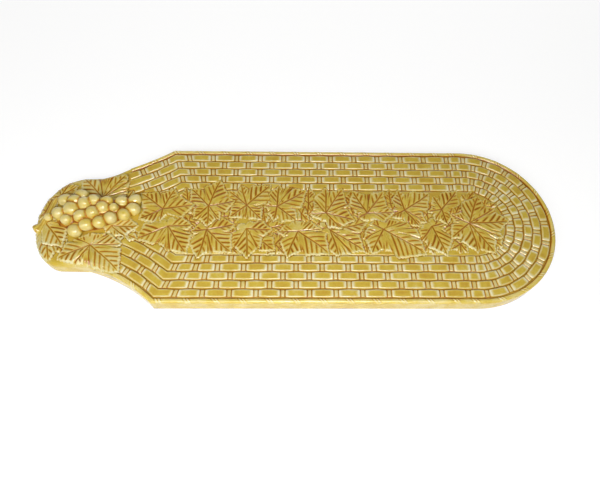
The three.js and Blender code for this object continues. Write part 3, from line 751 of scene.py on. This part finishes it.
@dataclass
class Basketwork:
    """The lashed cane rim and the five woven courses inside it."""

    plan: Plan
    spray: LeafSpray
    dresser: Dresser
    rim_width: float = 4.3
    rim_rise: float = 1.8
    courses: int = 5
    course_pitch: float = 7.18
    groove: float = 0.7
    block_rise: float = 1.75
    stake_rise: float = 1.25
    stake_step: float = 10.12
    stake_half_width: float = 1.45
    block_from: float = 1.75
    fan_step: float = 8.6
    weave_start: float = 69.0
    far_lag: tuple[float, ...] = (0.0, 0.0, 2.0, 15.0, 28.0)
    near_lag: tuple[float, ...] = (0.0, 0.0, 2.0, 3.0, 5.0)
    block_bulge: float = 0.19
    lash_slant: float = 40.0
    step: float = 0.42
    top_rows: int = 16
    foot: float = 0.2

    @property
    def start_x(self) -> float:
        """Where the rim and the outer courses begin at the handle."""
        return self.plan.tip_x + self.weave_start

    def stakes(self, path: Path, course: int) -> Array:
        """Finds the stakes that show on a course, every second one of those that run across all the courses.

        Args:
            path: The course's path on one side.
            course: The course's number, or 0 for the rim's lashings.

        Returns:
            Their distances along the path.
        """
        odd = course % 2
        count = int((90.0 + self.fan_step) / self.fan_step) + 1
        fan = np.radians(np.arange(1 - odd, count, 2) * self.fan_step) * path.radius
        outermost_x = self.plan.corner_x(path.side, self.rim_width + self.course_pitch / 2.0)
        run = self.plan.end_x - outermost_x
        last = int(run / self.stake_step)
        straight = np.arange(2 - odd, last + 1, 2) * self.stake_step
        leaning = smooth_step(-path.lean_from, 0.0, straight - run)
        aside = self.plan.corner_x(path.side, path.inset) - outermost_x
        straight = path.quarter + straight - aside * leaning
        straight = straight[straight > fan[-1] + self.stake_step / 2.0]
        after = np.arange(last + 1, last + 20)
        beyond = path.corner + (after[after % 2 == odd] - last) * self.stake_step
        return np.concatenate([fan, straight, beyond[beyond < path.end - self.stake_step / 2.0]])

    def strip(self, name: str, paths: tuple[Path, Path]) -> tuple[bpy.types.Object, Array, Array]:
        """Adds the clay for a strip that runs from the far side round the end to the near side.

        Args:
            name: The piece's name.
            paths: The far path and the near path.

        Returns:
            The piece, each vertex's distance along it, less than 0 at the far side, and its row.
        """
        far, near = paths
        count = int((far.end + near.end) / self.step)
        piece, column, row = clay_strip(name, count, self.top_rows + 3)
        return piece, np.linspace(-far.end, near.end, count + 1)[column], row

    def across(self, row: Array) -> tuple[Array, Array]:
        """Gives a row's share across its strip, closer together at the edges, and whether it is underneath."""
        turn = np.clip(row, 0, self.top_rows) / self.top_rows * math.pi
        share = 0.5 - 0.5 * np.cos(turn)
        under = (row > self.top_rows) & (row < self.top_rows + 3)
        return np.where(row >= self.top_rows + 2, 0.0, share), under

    def lay(self, paths: tuple[Path, Path], along: Array, inset: Array) -> tuple[Array, Array]:
        """Gives the places of a strip's vertices on the board."""
        far_x, far_y = paths[0].places(np.maximum(-along, 0.0), inset)
        near_x, near_y = paths[1].places(np.maximum(along, 0.0), inset)
        return np.where(along < 0, far_x, near_x), np.where(along < 0, far_y, near_y)

    def from_stake(self, paths: tuple[Path, Path], course: int, along: Array) -> tuple[Array, Array, Array]:
        """Measures from each place to the stakes of its course.

        Args:
            paths: The far path and the near path.
            course: The course's number.
            along: Distances along the strip.

        Returns:
            The distance to the nearest stake, the share from one stake to the next, and the block's number.
        """
        marks = np.concatenate([-self.stakes(paths[0], course)[::-1], self.stakes(paths[1], course)])
        marks = np.unique(np.round(marks, 6))
        ends = np.concatenate([[-paths[0].end - self.stake_step], marks, [paths[1].end + self.stake_step]])
        block = np.clip(np.searchsorted(ends, along) - 1, 0, len(ends) - 2)
        before, after = along - ends[block], ends[block + 1] - along
        nearest = np.where(before < after, before, -after)
        return nearest, before / (before + after), block

    def build_course(self, number: int) -> None:
        """Weaves one course: pillow-like blocks where the weaver shows, and pairs of reeds between them."""
        outer = self.rim_width + (number - 1) * self.course_pitch + self.groove / 2.0
        width = self.course_pitch - self.groove
        starts = (self.start_x + self.far_lag[number - 1], self.start_x + self.near_lag[number - 1])
        middle = outer + width / 2.0
        paths = (Path(self.plan, Side.FAR, middle, starts[0]), Path(self.plan, Side.NEAR, middle, starts[1]))
        piece, along, row = self.strip(f"woven_course_{number}", paths)
        share, under = self.across(row)
        off, run, block = self.from_stake(paths, number, along)
        chance = np.random.default_rng(40 + number)
        swell = chance.uniform(0.92, 1.08, block.max() + 1)[block]
        tilt = chance.uniform(-0.12, 0.12, block.max() + 1)[block]
        beside = np.abs(off)
        depth = np.minimum(share, 1.0 - share) * width
        into = beside - self.block_from
        corner = np.hypot(1.0 - np.clip(depth / 1.15, 0.0, 1.0), 1.0 - np.clip(into / 1.2, 0.0, 1.0))
        rounded = np.sqrt(1.0 - np.minimum(corner, 1.0) ** 2) * (into > 0.0)
        arch = 0.74 + 0.26 * np.sin(math.pi * np.clip(run, 0.0, 1.0))
        inner = smooth_step(0.7, 2.0, np.minimum(depth, into))
        block_top = (self.block_rise * swell * arch + tilt * (share - 0.5)) * rounded - 0.08 * inner
        half = self.stake_half_width / 2.0
        reed = np.sqrt(np.clip(1.0 - ((beside - half) / half) ** 2, 0.0, 1.0))
        parted = np.where(beside < half, np.maximum(reed, 0.95), reed)
        stake_top = self.stake_rise * quarter_round(depth, 0.8) * (0.55 + 0.45 * parted) * (beside < 2.0 * half)
        top = np.maximum(np.maximum(block_top, stake_top), 0.12)
        bulge = 1.0 + self.block_bulge * (np.sin(math.pi * np.clip(run, 0.0, 1.0)) - 0.5)
        x, y = self.lay(paths, along, middle + (share - 0.5) * width * bulge)
        sunk, margin_shadow = self.spray.sunk(-1, x, y)
        top = np.maximum(top - 0.6 * np.minimum(sunk, 1.0), 0.12)
        on_block = 0.95 - 0.92 * rounded + 0.37 * smooth_step(0.2, 3.8, np.minimum(2.2 * depth, into))
        on_stake = 0.90 - 0.70 * parted * quarter_round(depth, 0.8)
        glaze = np.where(block_top > stake_top, on_block, on_stake)
        press(piece, x, y, self.plan.floor + np.where(under, -self.foot, top))
        # The margin shadow is painted shade cast by the leaves lying over the weave
        paint(piece, np.where(under, 1.0, glaze + 0.4 * margin_shadow))
        close_seams(piece)
        self.dresser.dress(piece, Slot.HONEY, f"weave_course_{number}")

    def build_rim(self) -> None:
        """Rolls the cane rim, with its double lashings slanted over it."""
        width = self.rim_width - self.groove / 2.0
        paths = tuple(Path(self.plan, side, width / 2.0, self.start_x) for side in (Side.FAR, Side.NEAR))
        piece, along, row = self.strip("cane_rim", paths)
        share, under = self.across(row)
        shift = (share - 0.5) * width * math.tan(math.radians(self.lash_slant))
        off, _, _ = self.from_stake(paths, 0, along - shift)
        beside = np.abs(off)
        roll = np.sqrt(np.clip(1.0 - (2.0 * share - 1.0) ** 2, 0.0, 1.0))
        cord = np.sqrt(np.clip(1.0 - ((beside - 1.1) / 1.1) ** 2, 0.0, 1.0)) * (beside < 2.2)
        notch = 0.5 * bump_at(2.45, 0.45, beside) + 0.8 * bump_at(0.0, 0.4, beside)
        notch = notch * smooth_step(0.1, 0.6, share)
        top = self.rim_rise * roll * (1.0 + 0.22 * cord - 0.2 * np.minimum(notch, 1.0))
        x, y = self.lay(paths, along, share * width)
        glaze = 0.42 - 0.12 * cord + 0.5 * notch + 0.5 * smooth_step(0.75, 1.0, share) - 0.1 * roll
        press(piece, x, y, self.plan.floor + np.where(under, -self.foot, top))
        paint(piece, np.where(under, 0.8, glaze))
        close_seams(piece)
        self.dresser.dress(piece, Slot.PALE, "rim_cane")

    def build(self) -> None:
        """Builds the rim and then every course."""
        self.build_rim()
        for number in range(1, self.courses + 1):
            self.build_course(number)


# Slab


@dataclass
class Slab:
    """The slab: a side wall with softened edges, and a foot ring round a recessed back, wiped bare."""

    plan: Plan
    dresser: Dresser
    weave_x: float
    counts: tuple[int, int, int, int] = (90, 60, 44, 64)
    handle_round: float = 3.2
    handle_ease: float = 14.0
    foot_round: float = 2.0
    foot_width: float = 9.0
    recess_depth: float = 3.5
    round_steps: int = 6
    floor_glaze: float = 0.40
    floor_pool: float = 0.15
    wall_glaze: float = 0.32
    wall_foot_shade: float = 0.06
    bed_middle: float = -60.0
    bed_rise: float = 1.0
    bed_from_weave: float = 40.5
    bed_from_edge: float = 3.4
    bed_segments: int = 1500

    def sections(self) -> list[tuple[float, float, float, float]]:
        """Lists the slab's rings from the top: inset and height on the body, then on the handle."""
        floor = self.plan.floor
        rings = [(30.0, floor, 30.0, floor), (5.0, floor, 5.0, floor)]
        for turn in np.linspace(math.pi / 2.0, 0.0, self.round_steps + 1):
            inset, drop = 1.0 - math.cos(turn), 1.0 - math.sin(turn)
            rings.append((0.3 * inset, floor - 0.3 * drop,
                          self.handle_round * inset, floor - self.handle_round * drop))
        for height in (0.6, 0.4):
            rings.append((0.0, floor * height, 0.0, floor * height))
        for turn in np.linspace(0.0, math.pi / 2.0, self.round_steps + 1):
            inset, z = self.foot_round * (1.0 - math.cos(turn)), self.foot_round * (1.0 - math.sin(turn))
            rings.append((inset, z, inset, z))
        for inset, z in ((self.foot_width - 1.2, 0.0),
                         (self.foot_width - 0.7, 0.25),
                         (self.foot_width - 0.1, self.recess_depth - 0.4),
                         (self.foot_width + 0.6, self.recess_depth),
                         (self.foot_width + 14.0, self.recess_depth)):
            rings.append((inset, z, inset, z))
        return rings

    def build(self) -> None:
        """Presses the slab and wipes its foot bare."""
        sections = self.sections()
        edge = self.ring(0.0)
        ease = smooth_step(-self.handle_ease, 0.0, edge[:, 0] - self.weave_x)
        piece, ring, segment = clay_ball("glazed_slab", len(edge), len(sections) + 1)
        x = np.zeros(len(ring))
        y = np.zeros(len(ring))
        z = np.where(ring == 0, self.plan.floor, self.recess_depth)
        glaze = np.full(len(ring), 0.75)
        on_body = smooth_step(-6.0, 4.0, edge[:, 0] - self.weave_x)
        for number, (inset, height, handle_inset, handle_height) in enumerate(sections, start=1):
            on = ring == number
            at = segment[on]
            body, handle = self.ring(inset), self.ring(handle_inset)
            share = ease[at][:, None]
            place = handle[at] + (body[at] - handle[at]) * share
            x[on], y[on] = place[:, 0], place[:, 1]
            z[on] = handle_height + (height - handle_height) * ease[at]
            if number <= 2:
                glaze[on] = self.floor_glaze + self.floor_pool * on_body[at]
            else:
                # Painted shade: the side wall is darker towards its foot
                low = smooth_step(0.75, 0.1, z[on] / self.plan.floor)
                glaze[on] = self.wall_glaze + self.wall_foot_shade * low
        press(piece, x, y, z)
        paint(piece, glaze)
        bed = self.bed()
        deselect_all()
        bed.select_set(True)
        piece.select_set(True)
        bpy.context.view_layer.objects.active = piece
        bpy.ops.object.join()
        self.dresser.dress(piece, Slot.HONEY, "slab")
        piece.data.materials.append(BisqueFinish().material())
        for face in piece.data.polygons:
            bare = face.normal.z < -0.2 and face.center.z < self.plan.floor * 0.5 * MM
            face.material_index = int(bare and face.center.z < (self.recess_depth + 0.1) * MM)

    def bed(self) -> bpy.types.Object:
        """Presses the low bed that the leaves lie on, out to the weave and the handle's edge."""
        turn = np.linspace(0.0, 2.0 * math.pi, self.bed_segments, endpoint=False)
        away = np.arange(4.0, 240.0, 0.25)
        x = self.bed_middle + away[None, :] * np.cos(turn)[:, None]
        y = away[None, :] * np.sin(turn)[:, None]
        body = self.plan.half_width - np.hypot(np.maximum(x - self.plan.end_x, 0.0), y)
        inset = np.minimum(body, self.plan.handle_inset(x, y))
        clear = inset > np.where(x < self.weave_x, self.bed_from_edge, self.bed_from_weave)
        reach = away[clear.cumprod(axis=1).sum(axis=1) - 1]
        # Each ring's distance from the bed's edge, share of its rise, and glaze
        rings = ((9.0, 1.0, 0.42), (1.0, 1.0, 0.40), (0.35, 0.85, 0.22), (0.0, 0.4, 0.25), (0.0, -0.3, 0.6))
        piece, ring, segment = clay_ball("leaf_bed", self.bed_segments, len(rings) + 1)
        back, rise, glaze = (np.array([0.0, *column, 0.0]) for column in zip(*rings))
        out = np.where((ring > 0) & (ring <= len(rings)), reach[segment] - back[ring], 0.0)
        rise[0], rise[-1], glaze[0], glaze[-1] = rise[1], rise[-2], glaze[1], glaze[-2]
        press(piece, self.bed_middle + out * np.cos(turn[segment]), out * np.sin(turn[segment]),
              self.plan.floor + self.bed_rise * rise[ring])
        paint(piece, glaze[ring])
        return piece

    def ring(self, inset: float) -> Array:
        """Gives the whole edge at an inset, counter-clockwise from the round end's middle."""
        far = self.plan.outline(Side.FAR, inset, self.counts)
        near = self.plan.outline(Side.NEAR, inset, self.counts)
        return np.vstack([far, near[1:-1][::-1]])


# Grapes and stem


@dataclass
class GrapeBunch:
    """The heap of berries on the handle, fused where they touch and filled with glaze between them."""

    plan: Plan
    dresser: Dresser
    berries: tuple[tuple[float, float, float], ...]
    from_tip: float = 44.0
    off_axis: float = 5.0
    half_length: float = 40.0
    half_width: float = 23.0
    rise: float = 15.0
    seat: float = 0.6
    plump: float = 0.84
    far_row: float = 8.0
    far_plump: float = 0.82
    heart: tuple[float, float, float] = (30.0, 13.5, 9.5)
    heart_turn: float = 12.0
    heart_shift: float = 2.0
    berry_glaze: float = 0.27
    cleft_pool: float = 0.5
    foot_pool: float = 0.15
    gap_pool: float = 0.35
    voxel: float = 0.42
    smoothing: int = 14

    def centres(self) -> Array:
        """Lists each berry's centre and radius."""
        rows = []
        for dx, dy, radius in self.berries:
            out = math.hypot(dx / self.half_length, dy / self.half_width)
            crown = self.rise * math.sqrt(max(0.0, 1.0 - out**2))
            rise = max(radius * self.seat, crown - radius)
            plump = self.plump if dy < self.far_row else self.far_plump
            rows.append((self.plan.tip_x + self.from_tip + dx, self.off_axis + dy, self.plan.floor + rise,
                         radius * plump))
        return np.array(rows)

    def build(self) -> None:
        """Heaps the berries, fuses them and dresses the bunch."""
        deselect_all()
        balls = []
        chance = np.random.default_rng(24)
        for x, y, z, radius in self.centres():
            bpy.ops.mesh.primitive_uv_sphere_add(segments=40, ring_count=24, radius=radius * MM,
                                                 location=(x * MM, y * MM, z * MM))
            ball = bpy.context.object
            longer = chance.uniform(1.0, 1.12) * (1.0 if y < self.off_axis + self.far_row else 1.25)
            ball.scale = (longer, 1.0, 1.0)
            ball.rotation_euler = (0.0, 0.0, chance.uniform(-0.6, 0.6))
            balls.append(ball)
        bpy.ops.mesh.primitive_uv_sphere_add(segments=64, ring_count=32, radius=MM, location=(
            (self.plan.tip_x + self.from_tip + self.heart_shift) * MM, self.off_axis * MM, self.plan.floor * MM))
        heart = bpy.context.object
        heart.scale = self.heart
        heart.rotation_euler = (0.0, 0.0, math.radians(self.heart_turn))
        for ball in balls:
            ball.select_set(True)
        bpy.context.view_layer.objects.active = heart
        bpy.ops.object.join()
        piece = named("grape_heap")
        bpy.ops.object.transform_apply(location=True, rotation=True, scale=True)
        remesh = piece.modifiers.new("fuse", "REMESH")
        remesh.mode = "VOXEL"
        remesh.voxel_size = self.voxel * MM
        soften = piece.modifiers.new("soften", "SMOOTH")
        soften.factor = 0.5
        soften.iterations = self.smoothing
        for modifier in list(piece.modifiers):
            bpy.ops.object.modifier_apply(modifier=modifier.name)
        bpy.ops.object.mode_set(mode="EDIT")
        bpy.ops.mesh.select_all(action="SELECT")
        bpy.ops.mesh.bisect(plane_co=(0.0, 0.0, (self.plan.floor - 0.3) * MM), plane_no=(0.0, 0.0, 1.0),
                            use_fill=True, clear_inner=True)
        bpy.ops.object.mode_set(mode="OBJECT")
        close_seams(piece)
        self.glaze(piece)
        self.dresser.dress(piece, Slot.PALE, "grape_bunch")

    def glaze(self, piece: bpy.types.Object) -> None:
        """Lays the glaze: thin on the berries, pooled in the clefts between them."""
        at = vertex_places(piece) / MM
        rows = self.centres()
        gap = np.linalg.norm(at[:, None, :] - rows[None, :, :3], axis=2) - rows[None, :, 3]
        gap.sort(axis=1)
        cleft = bump_at(0.0, 1.3, gap[:, 1] - gap[:, 0]) * 0.8
        low = smooth_step(6.0, 0.0, at[:, 2] - self.plan.floor)
        bare = smooth_step(0.4, 1.6, gap[:, 0])
        paint(piece, self.berry_glaze + self.cleft_pool * cleft + self.foot_pool * low + self.gap_pool * bare)


@dataclass
class VineStem:
    """The woody stub at the handle's tip and the stem that runs up beside the bunch."""

    plan: Plan
    dresser: Dresser
    route: tuple[tuple[float, float, float], ...]
    radius: float = 2.2
    stub_radius: float = 4.4
    along: int = 90
    around: int = 28
    ridges: int = 7
    ridge_depth: float = 0.22
    bark_glaze: float = 0.42
    ridge_thin: float = 0.12
    foot_pool: float = 0.3

    def line(self, share: Array) -> tuple[Array, Array]:
        """Follows the stem.

        Args:
            share: How far along, from 0 to 1.

        Returns:
            The places on its centre line, and its direction there.
        """
        knots = np.array(self.route) + np.array([self.plan.tip_x, 0.0, self.plan.floor])
        fit = np.polynomial.polynomial.polyfit(np.linspace(0.0, 1.0, len(knots)), knots, 3)
        place = np.polynomial.polynomial.polyval(share, fit).T
        ahead = np.polynomial.polynomial.polyval(share, np.polynomial.polynomial.polyder(fit)).T
        return place, ahead / np.linalg.norm(ahead, axis=1)[:, None]

    def build(self) -> None:
        """Rolls the stem with its ridged bark and its cut, swollen stub."""
        piece, column, row = clay_strip("vine_stalk", self.along, self.around)
        share = column / self.along
        place, ahead = self.line(share)
        across = np.column_stack([-ahead[:, 1], ahead[:, 0], np.zeros(len(ahead))])
        across /= np.linalg.norm(across, axis=1)[:, None]
        upward = np.cross(ahead, across)
        turn = row / self.around * 2.0 * math.pi
        stub = 1.0 - smooth_step(0.08, 0.30, share)
        thick = self.radius + (self.stub_radius - self.radius) * stub
        thick = thick * quarter_round(share, 0.07) * quarter_round(1.0 - share, 0.06)
        bark = np.cos(self.ridges * turn + 9.0 * share)
        ends = quarter_round(share, 0.1) * quarter_round(1.0 - share, 0.1)
        thick = thick + self.ridge_depth * bark * ends
        at = place + across * (thick * np.cos(turn))[:, None] + upward * (thick * np.sin(turn))[:, None]
        press(piece, at[:, 0], at[:, 1], np.maximum(at[:, 2], self.plan.floor - 0.2))
        low = smooth_step(2.0, 0.0, at[:, 2] - self.plan.floor)
        paint(piece, self.bark_glaze - self.ridge_thin * bark + self.foot_pool * low)
        close_seams(piece)
        self.dresser.dress(piece, Slot.PALE, "vine_stem")


# Studio


@dataclass(frozen=True)
class Softbox:
    """A soft light that faces the board, with its place and size in metres and its power in watts.

    One that doesn't light up shows in gloss, and leaves matt faces as they are.
    """

    name: str
    place: tuple[float, float, float]
    size: tuple[float, float]
    power: float
    lights_up: bool = True


SOFTBOXES = (
    Softbox("front_softbox", (-0.05, -0.31, 0.37), (0.64, 0.16), 2.5),
    Softbox("edge_strip", (0.0, -0.50, 0.42), (1.0, 0.035), 0.5),
    Softbox("back_softbox", (0.05, 0.85, 0.24), (1.1, 0.3), 2.5),
    # A small box that shows only as glints in the glaze
    Softbox("glint_softbox", (0.05, -0.27, 0.45), (0.24, 0.24), 2.4, lights_up=False),
)


@dataclass
class Studio:
    """A white table, soft light from the front and behind, and the camera of the photograph."""

    camera_place: tuple[float, float, float] = (-9.17, -202.77, 371.05)
    elevation: float = 63.582
    heading: float = -3.377
    roll: float = 3.244
    focal_px: float = 505.58
    frame_px: float = 600.0
    sensor: float = 36.0
    floor_white: str = "#f7f7f5"
    floor_glow: float = 1.16
    floor_size: float = 6.0
    shadow_share: float = 0.30
    room_light: float = 0.14

    def axes(self) -> tuple[Array, Array, Array]:
        """Gives the camera's right, up and back directions."""
        up_turn, turn, roll = (math.radians(a) for a in (self.elevation, self.heading, self.roll))
        level = math.cos(up_turn)
        back = np.array([math.sin(turn) * level, -math.cos(turn) * level, math.sin(up_turn)])
        right = np.array([math.cos(turn), math.sin(turn), 0.0])
        up = np.cross(back, right)
        return right * math.cos(roll) + up * math.sin(roll), up * math.cos(roll) - right * math.sin(roll), back

    def camera(self) -> None:
        """Sets the camera where the photograph was taken from."""
        lens = bpy.data.cameras.new("photo_camera")
        lens.sensor_width = self.sensor
        lens.lens = self.focal_px / self.frame_px * self.sensor
        lens.clip_start = 0.01
        body = bpy.data.objects.new("photo_camera", lens)
        bpy.context.scene.collection.objects.link(body)
        right, up, back = self.axes()
        turned = Matrix([[*column] for column in zip(right, up, back)]).to_4x4()
        turned.translation = [c * MM for c in self.camera_place]
        body.matrix_world = turned
        bpy.context.scene.camera = body

    def light(self, box: Softbox) -> None:
        """Adds a soft light that faces the board.

        Args:
            box: The light.
        """
        lamp = bpy.data.lights.new(box.name, "AREA")
        lamp.shape = "RECTANGLE"
        lamp.size, lamp.size_y = box.size
        lamp.energy = box.power
        body = bpy.data.objects.new(box.name, lamp)
        bpy.context.scene.collection.objects.link(body)
        back = np.array(box.place) / np.linalg.norm(box.place)
        right = np.cross(np.array([0.0, 0.0, 1.0]), back)
        right /= np.linalg.norm(right)
        turned = Matrix([[*column] for column in zip(right, np.cross(back, right), back)]).to_4x4()
        turned.translation = box.place
        body.matrix_world = turned
        body.visible_diffuse = box.lights_up

    def white_where_seen(self, tree: bpy.types.NodeTree) -> bpy.types.NodeSocket:
        """Gives 1 for rays that show the background itself: from the camera, off gloss or through glass."""
        path = add_node(tree, "ShaderNodeLightPath", {}, {})
        seen = path.outputs["Is Camera Ray"]
        for kind in ("Is Glossy Ray", "Is Transmission Ray"):
            seen = add_node(tree, "ShaderNodeMath", {"operation": "MAXIMUM"},
                            {0: seen, 1: path.outputs[kind]}).outputs[0]
        return seen

    def floor(self) -> None:
        """Lays the white table, which keeps part of the board's shadow."""
        deselect_all()
        bpy.ops.mesh.primitive_plane_add(size=self.floor_size, location=(0.0, 0.0, 0.0))
        table = named("white_table")
        material = bpy.data.materials.new("white_laminate_smooth")
        material.use_nodes = True
        tree = material.node_tree
        shader = tree.nodes["Principled BSDF"]
        shader.inputs["Base Color"].default_value = linear(self.floor_white)
        shader.inputs["Roughness"].default_value = 0.6
        seen = self.white_where_seen(tree)
        share = add_node(tree, "ShaderNodeMath", {"operation": "MULTIPLY", 1: 1.0 - self.shadow_share}, {0: seen})
        glow = add_node(tree, "ShaderNodeEmission", {"Strength": self.floor_glow}, {})
        mix = add_node(tree, "ShaderNodeMixShader", {},
                       {0: share.outputs[0], 1: shader.outputs[0], 2: glow.outputs[0]})
        tree.links.new(mix.outputs[0], tree.nodes["Material Output"].inputs["Surface"])
        table.data.materials.append(material)

    def world(self) -> None:
        """Fills the room with soft light, white where it is seen."""
        world = bpy.data.worlds.new("white_room")
        bpy.context.scene.world = world
        world.use_nodes = True
        tree = world.node_tree
        fill = tree.nodes["Background"]
        fill.inputs["Color"].default_value = (1.0, 1.0, 1.0, 1.0)
        fill.inputs["Strength"].default_value = self.room_light
        white = add_node(tree, "ShaderNodeBackground", {"Color": (1.0, 1.0, 1.0, 1.0), "Strength": 1.0}, {})
        camera = add_node(tree, "ShaderNodeLightPath", {}, {}).outputs["Is Camera Ray"]
        mix = add_node(tree, "ShaderNodeMixShader", {}, {0: camera, 1: fill.outputs[0], 2: white.outputs[0]})
        tree.links.new(mix.outputs[0], tree.nodes["World Output"].inputs["Surface"])

    def build(self) -> None:
        """Sets the table, the light and the camera."""
        bpy.context.scene.view_settings.view_transform = "Standard"
        self.floor()
        self.world()
        for box in SOFTBOXES:
            self.light(box)
        self.camera()


# The leaves' places, counted from the centre of the round end and, on the handle, from its tip

BAND_LEAVES = (
    ((-164, -7), ((0, 13), (-13, 8), (14, 5), (8, -15), (-9, -14))),
    ((-131, 17), ((0, 16), (9, -14), (-9, 8), (10, 7), (-3, -20))),
    ((-96, 12), ((0, 18), (4, -16), (-9, 2), (9, -2))),
    ((-63, 17), ((0, 14), (3, -15), (-9, 4), (9, 4))),
    ((-34, 7), ((-10, 10), (11, 13), (3, -15), (-9, -8))),
    ((-12, 4), ((9, 16), (10, -9), (-6, -20), (-9, 13))),
    ((-200, 4), ((2, 15), (0, -15), (-12, 0), (12, 2))),
    ((-228, 0), ((5, 15), (-9, 11), (1, -20), (11, -5))),
    ((-158, -21), ((7, -9), (-7, -10), (8, 10), (-5, 12))),
    ((-230, 17), ((-3, 15), (-11, -5), (8, -12), (7, 13))),
    ((-192, -5), ((0, 11), (0, -12), (-8, 3), (8, 1))),
    ((-168, 8), ((0, 11), (2, -10), (-8, 1), (8, 2))),
    ((-125, -3), ((7, 5), (-7, 5), (3, -9), (8, -3))),
    ((-86, -17), ((0, 15), (1, -13), (-9, 3), (9, -3), (9, 9))),
    ((-48, 0), ((-9, 3), (9, 2), (7, -10), (-2, -6))),
    ((-193, -23), ((-6, -7), (6, -7), (0, 9))),
    ((1, 20), ((8, 10), (-4, 7))),
    ((13, 10), ((13, 9), (5, 13), (12, -2))),
    ((15, -12), ((9, -11), (12, -2), (4, -14))),
    ((-35, -19), ((3, -11), (-9, 4), (9, -9), (-6, -9))),
    ((-10, -20), ((-9, -5), (-1, -9), (5, -8), (5, 4), (-8, 6))),
    ((-137, 7), ((0, -11), (6, -7), (3, 7), (-3, 5))),
    ((-174, -13), ((16, -14), (14, 1), (12, -10))),
    ((-182, 15), ((-5, 20), (20, 20), (-16, 14), (-14, -12), (13, -14), (-1, -13))),
    ((-181, -7), ((1, -27), (21, -1), (-9, -6), (11, -18), (-11, -17))),
    ((-157, 14), ((2, 21), (25, 16), (13, 19), (-3, -14), (17, -14), (-11, 0))),
    ((-213, -8), ((-6, -26), (21, -21), (23, 5), (-13, -2), (5, -22), (10, 6))),
    ((-213, 14), ((9, 26), (-16, 17), (22, 5), (0, -20), (-12, -12), (10, -13))),
    ((-244, -5), ((-25, -12), (17, -25), (20, 1), (3, -23), (-9, -16))),
    ((-250, 11), ((-20, 15), (9, 20), (26, 4), (-1, -11), (-19, -10))),
    ((-31, -4), ((9, -27), (-11, -14), (11, -9), (10, 3), (-4, -20))),
    ((-52, 11), ((-4, 20), (23, 17), (8, 18), (17, -12), (11, -16), (-12, -7))),
    ((-71, -7), ((-11, -23), (33, -23), (16, 7), (14, -23), (-9, 6), (-17, -9), (30, -9))),
    ((-114, -8), ((6, -24), (27, -19), (31, 8), (16, -22), (24, -3), (-4, 4))),
    ((-83, 8), ((-11, 22), (15, 22), (3, 20), (23, 1), (-8, -5), (-12, 9))),
    ((-140, -9), ((-9, -24), (25, -21), (20, 2), (-17, -1), (8, -21), (8, 6))),
    ((-117, 8), ((0, 25), (15, 24), (24, -7), (-14, -1), (13, -15), (19, 8), (-10, 12))),
    ((-21, 12), ((15, 19), (-6, 13), (-12, -2), (-7, -11), (3, -15), (9, 6))),
    ((0, -1), ((12, 27), (34, 3), (17, -28), (-15, 8), (-17, -14), (26, -13), (3, -27), (24, 15))),
)
HANDLE_LEAVES = (
    ((73, -12), ((8, 7), (10, -5), (-8, -4), (-4, 8))),
    ((70, 21), ((-4, 8), (4, 8), (9, 1))),
    ((7, 8), ((-2, 12), (-6, -8), (-6, 3), (3, 17))),
    ((16, 23), ((6, 16), (-8, -3), (-4, 9), (12, 10))),
    ((50, 21), ((17, 24), (-20, 20), (-6, 21), (20, 7), (5, 23), (20, 16))),
    ((10, -11), ((7, -26), (-2, -15), (18, -18), (-4, -5), (19, -8))),
    ((9, -3), ((17, -21), (17, -9), (5, -11), (5, 4))),
    ((61, -5), ((22, 0), (11, -9), (-4, -6), (14, 6))),
    ((47, -22), ((-24, -13), (-19, -4), (-12, 6), (25, 1), (26, -24), (1, -19), (-10, -18), (12, -21),
                 (12, 10), (24, -12))),
)
BERRIES = (
    (-25, -1, 6.0), (-33, -4, 3.9), (-22, 12, 6.4), (-15, 2, 7.2), (-6, -5, 5.6), (-17, -8, 4.8),
    (-10, -16, 6.4), (-1, -12, 6.0), (9, -10, 6.0), (3, -2, 6.0), (10, 3, 5.8), (17, -6, 5.8),
    (27, -2, 5.8), (33, 4, 6.4), (19, 3, 3.8), (23, 11, 5.2), (33, 13, 5.6), (12, 9, 5.0),
    (2, 10, 5.2), (-5, 7, 6.2), (-10, 17, 6.0), (-14, 10, 5.6),
)
STEM_ROUTE = ((1.5, -10.5, 0.6), (6, -4, 1.4), (9, 3, 1.6), (11, 13, 1.6), (14, 21, 1.2))
BAND_GLAZE, HANDLE_GLAZE = 0.35, 0.29


def placed(kind: str, leaves: tuple, from_x: float, glaze: float) -> list[Leaf]:
    """Names a set of leaves after their nodes, sets them on the board and gives them their glaze."""
    return [Leaf(f"{kind}_{number:02d}", (from_x + x, y), tips, glaze=glaze)
            for number, ((x, y), tips) in enumerate(leaves, start=1)]


def main() -> None:
    """Builds every piece and the studio."""
    logging.basicConfig(level=logging.INFO)
    low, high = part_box("slab")
    plan = Plan(length=(high[0] - low[0]) / MM, half_width=(high[1] - low[1]) / 2.0 / MM, floor=high[2] / MM)
    dresser = Dresser()
    leaves = placed("band_leaf", BAND_LEAVES, plan.end_x, BAND_GLAZE)
    leaves += placed("handle_leaf", HANDLE_LEAVES, plan.tip_x, HANDLE_GLAZE)
    spray = LeafSpray(plan, leaves, dresser)
    basket = Basketwork(plan, spray, dresser)
    Slab(plan, dresser, basket.start_x).build()
    basket.build()
    spray.build()
    VineStem(plan, dresser, STEM_ROUTE).build()
    GrapeBunch(plan, dresser, BERRIES).build()
    Studio().build()


if __name__ == "__main__":
    main()
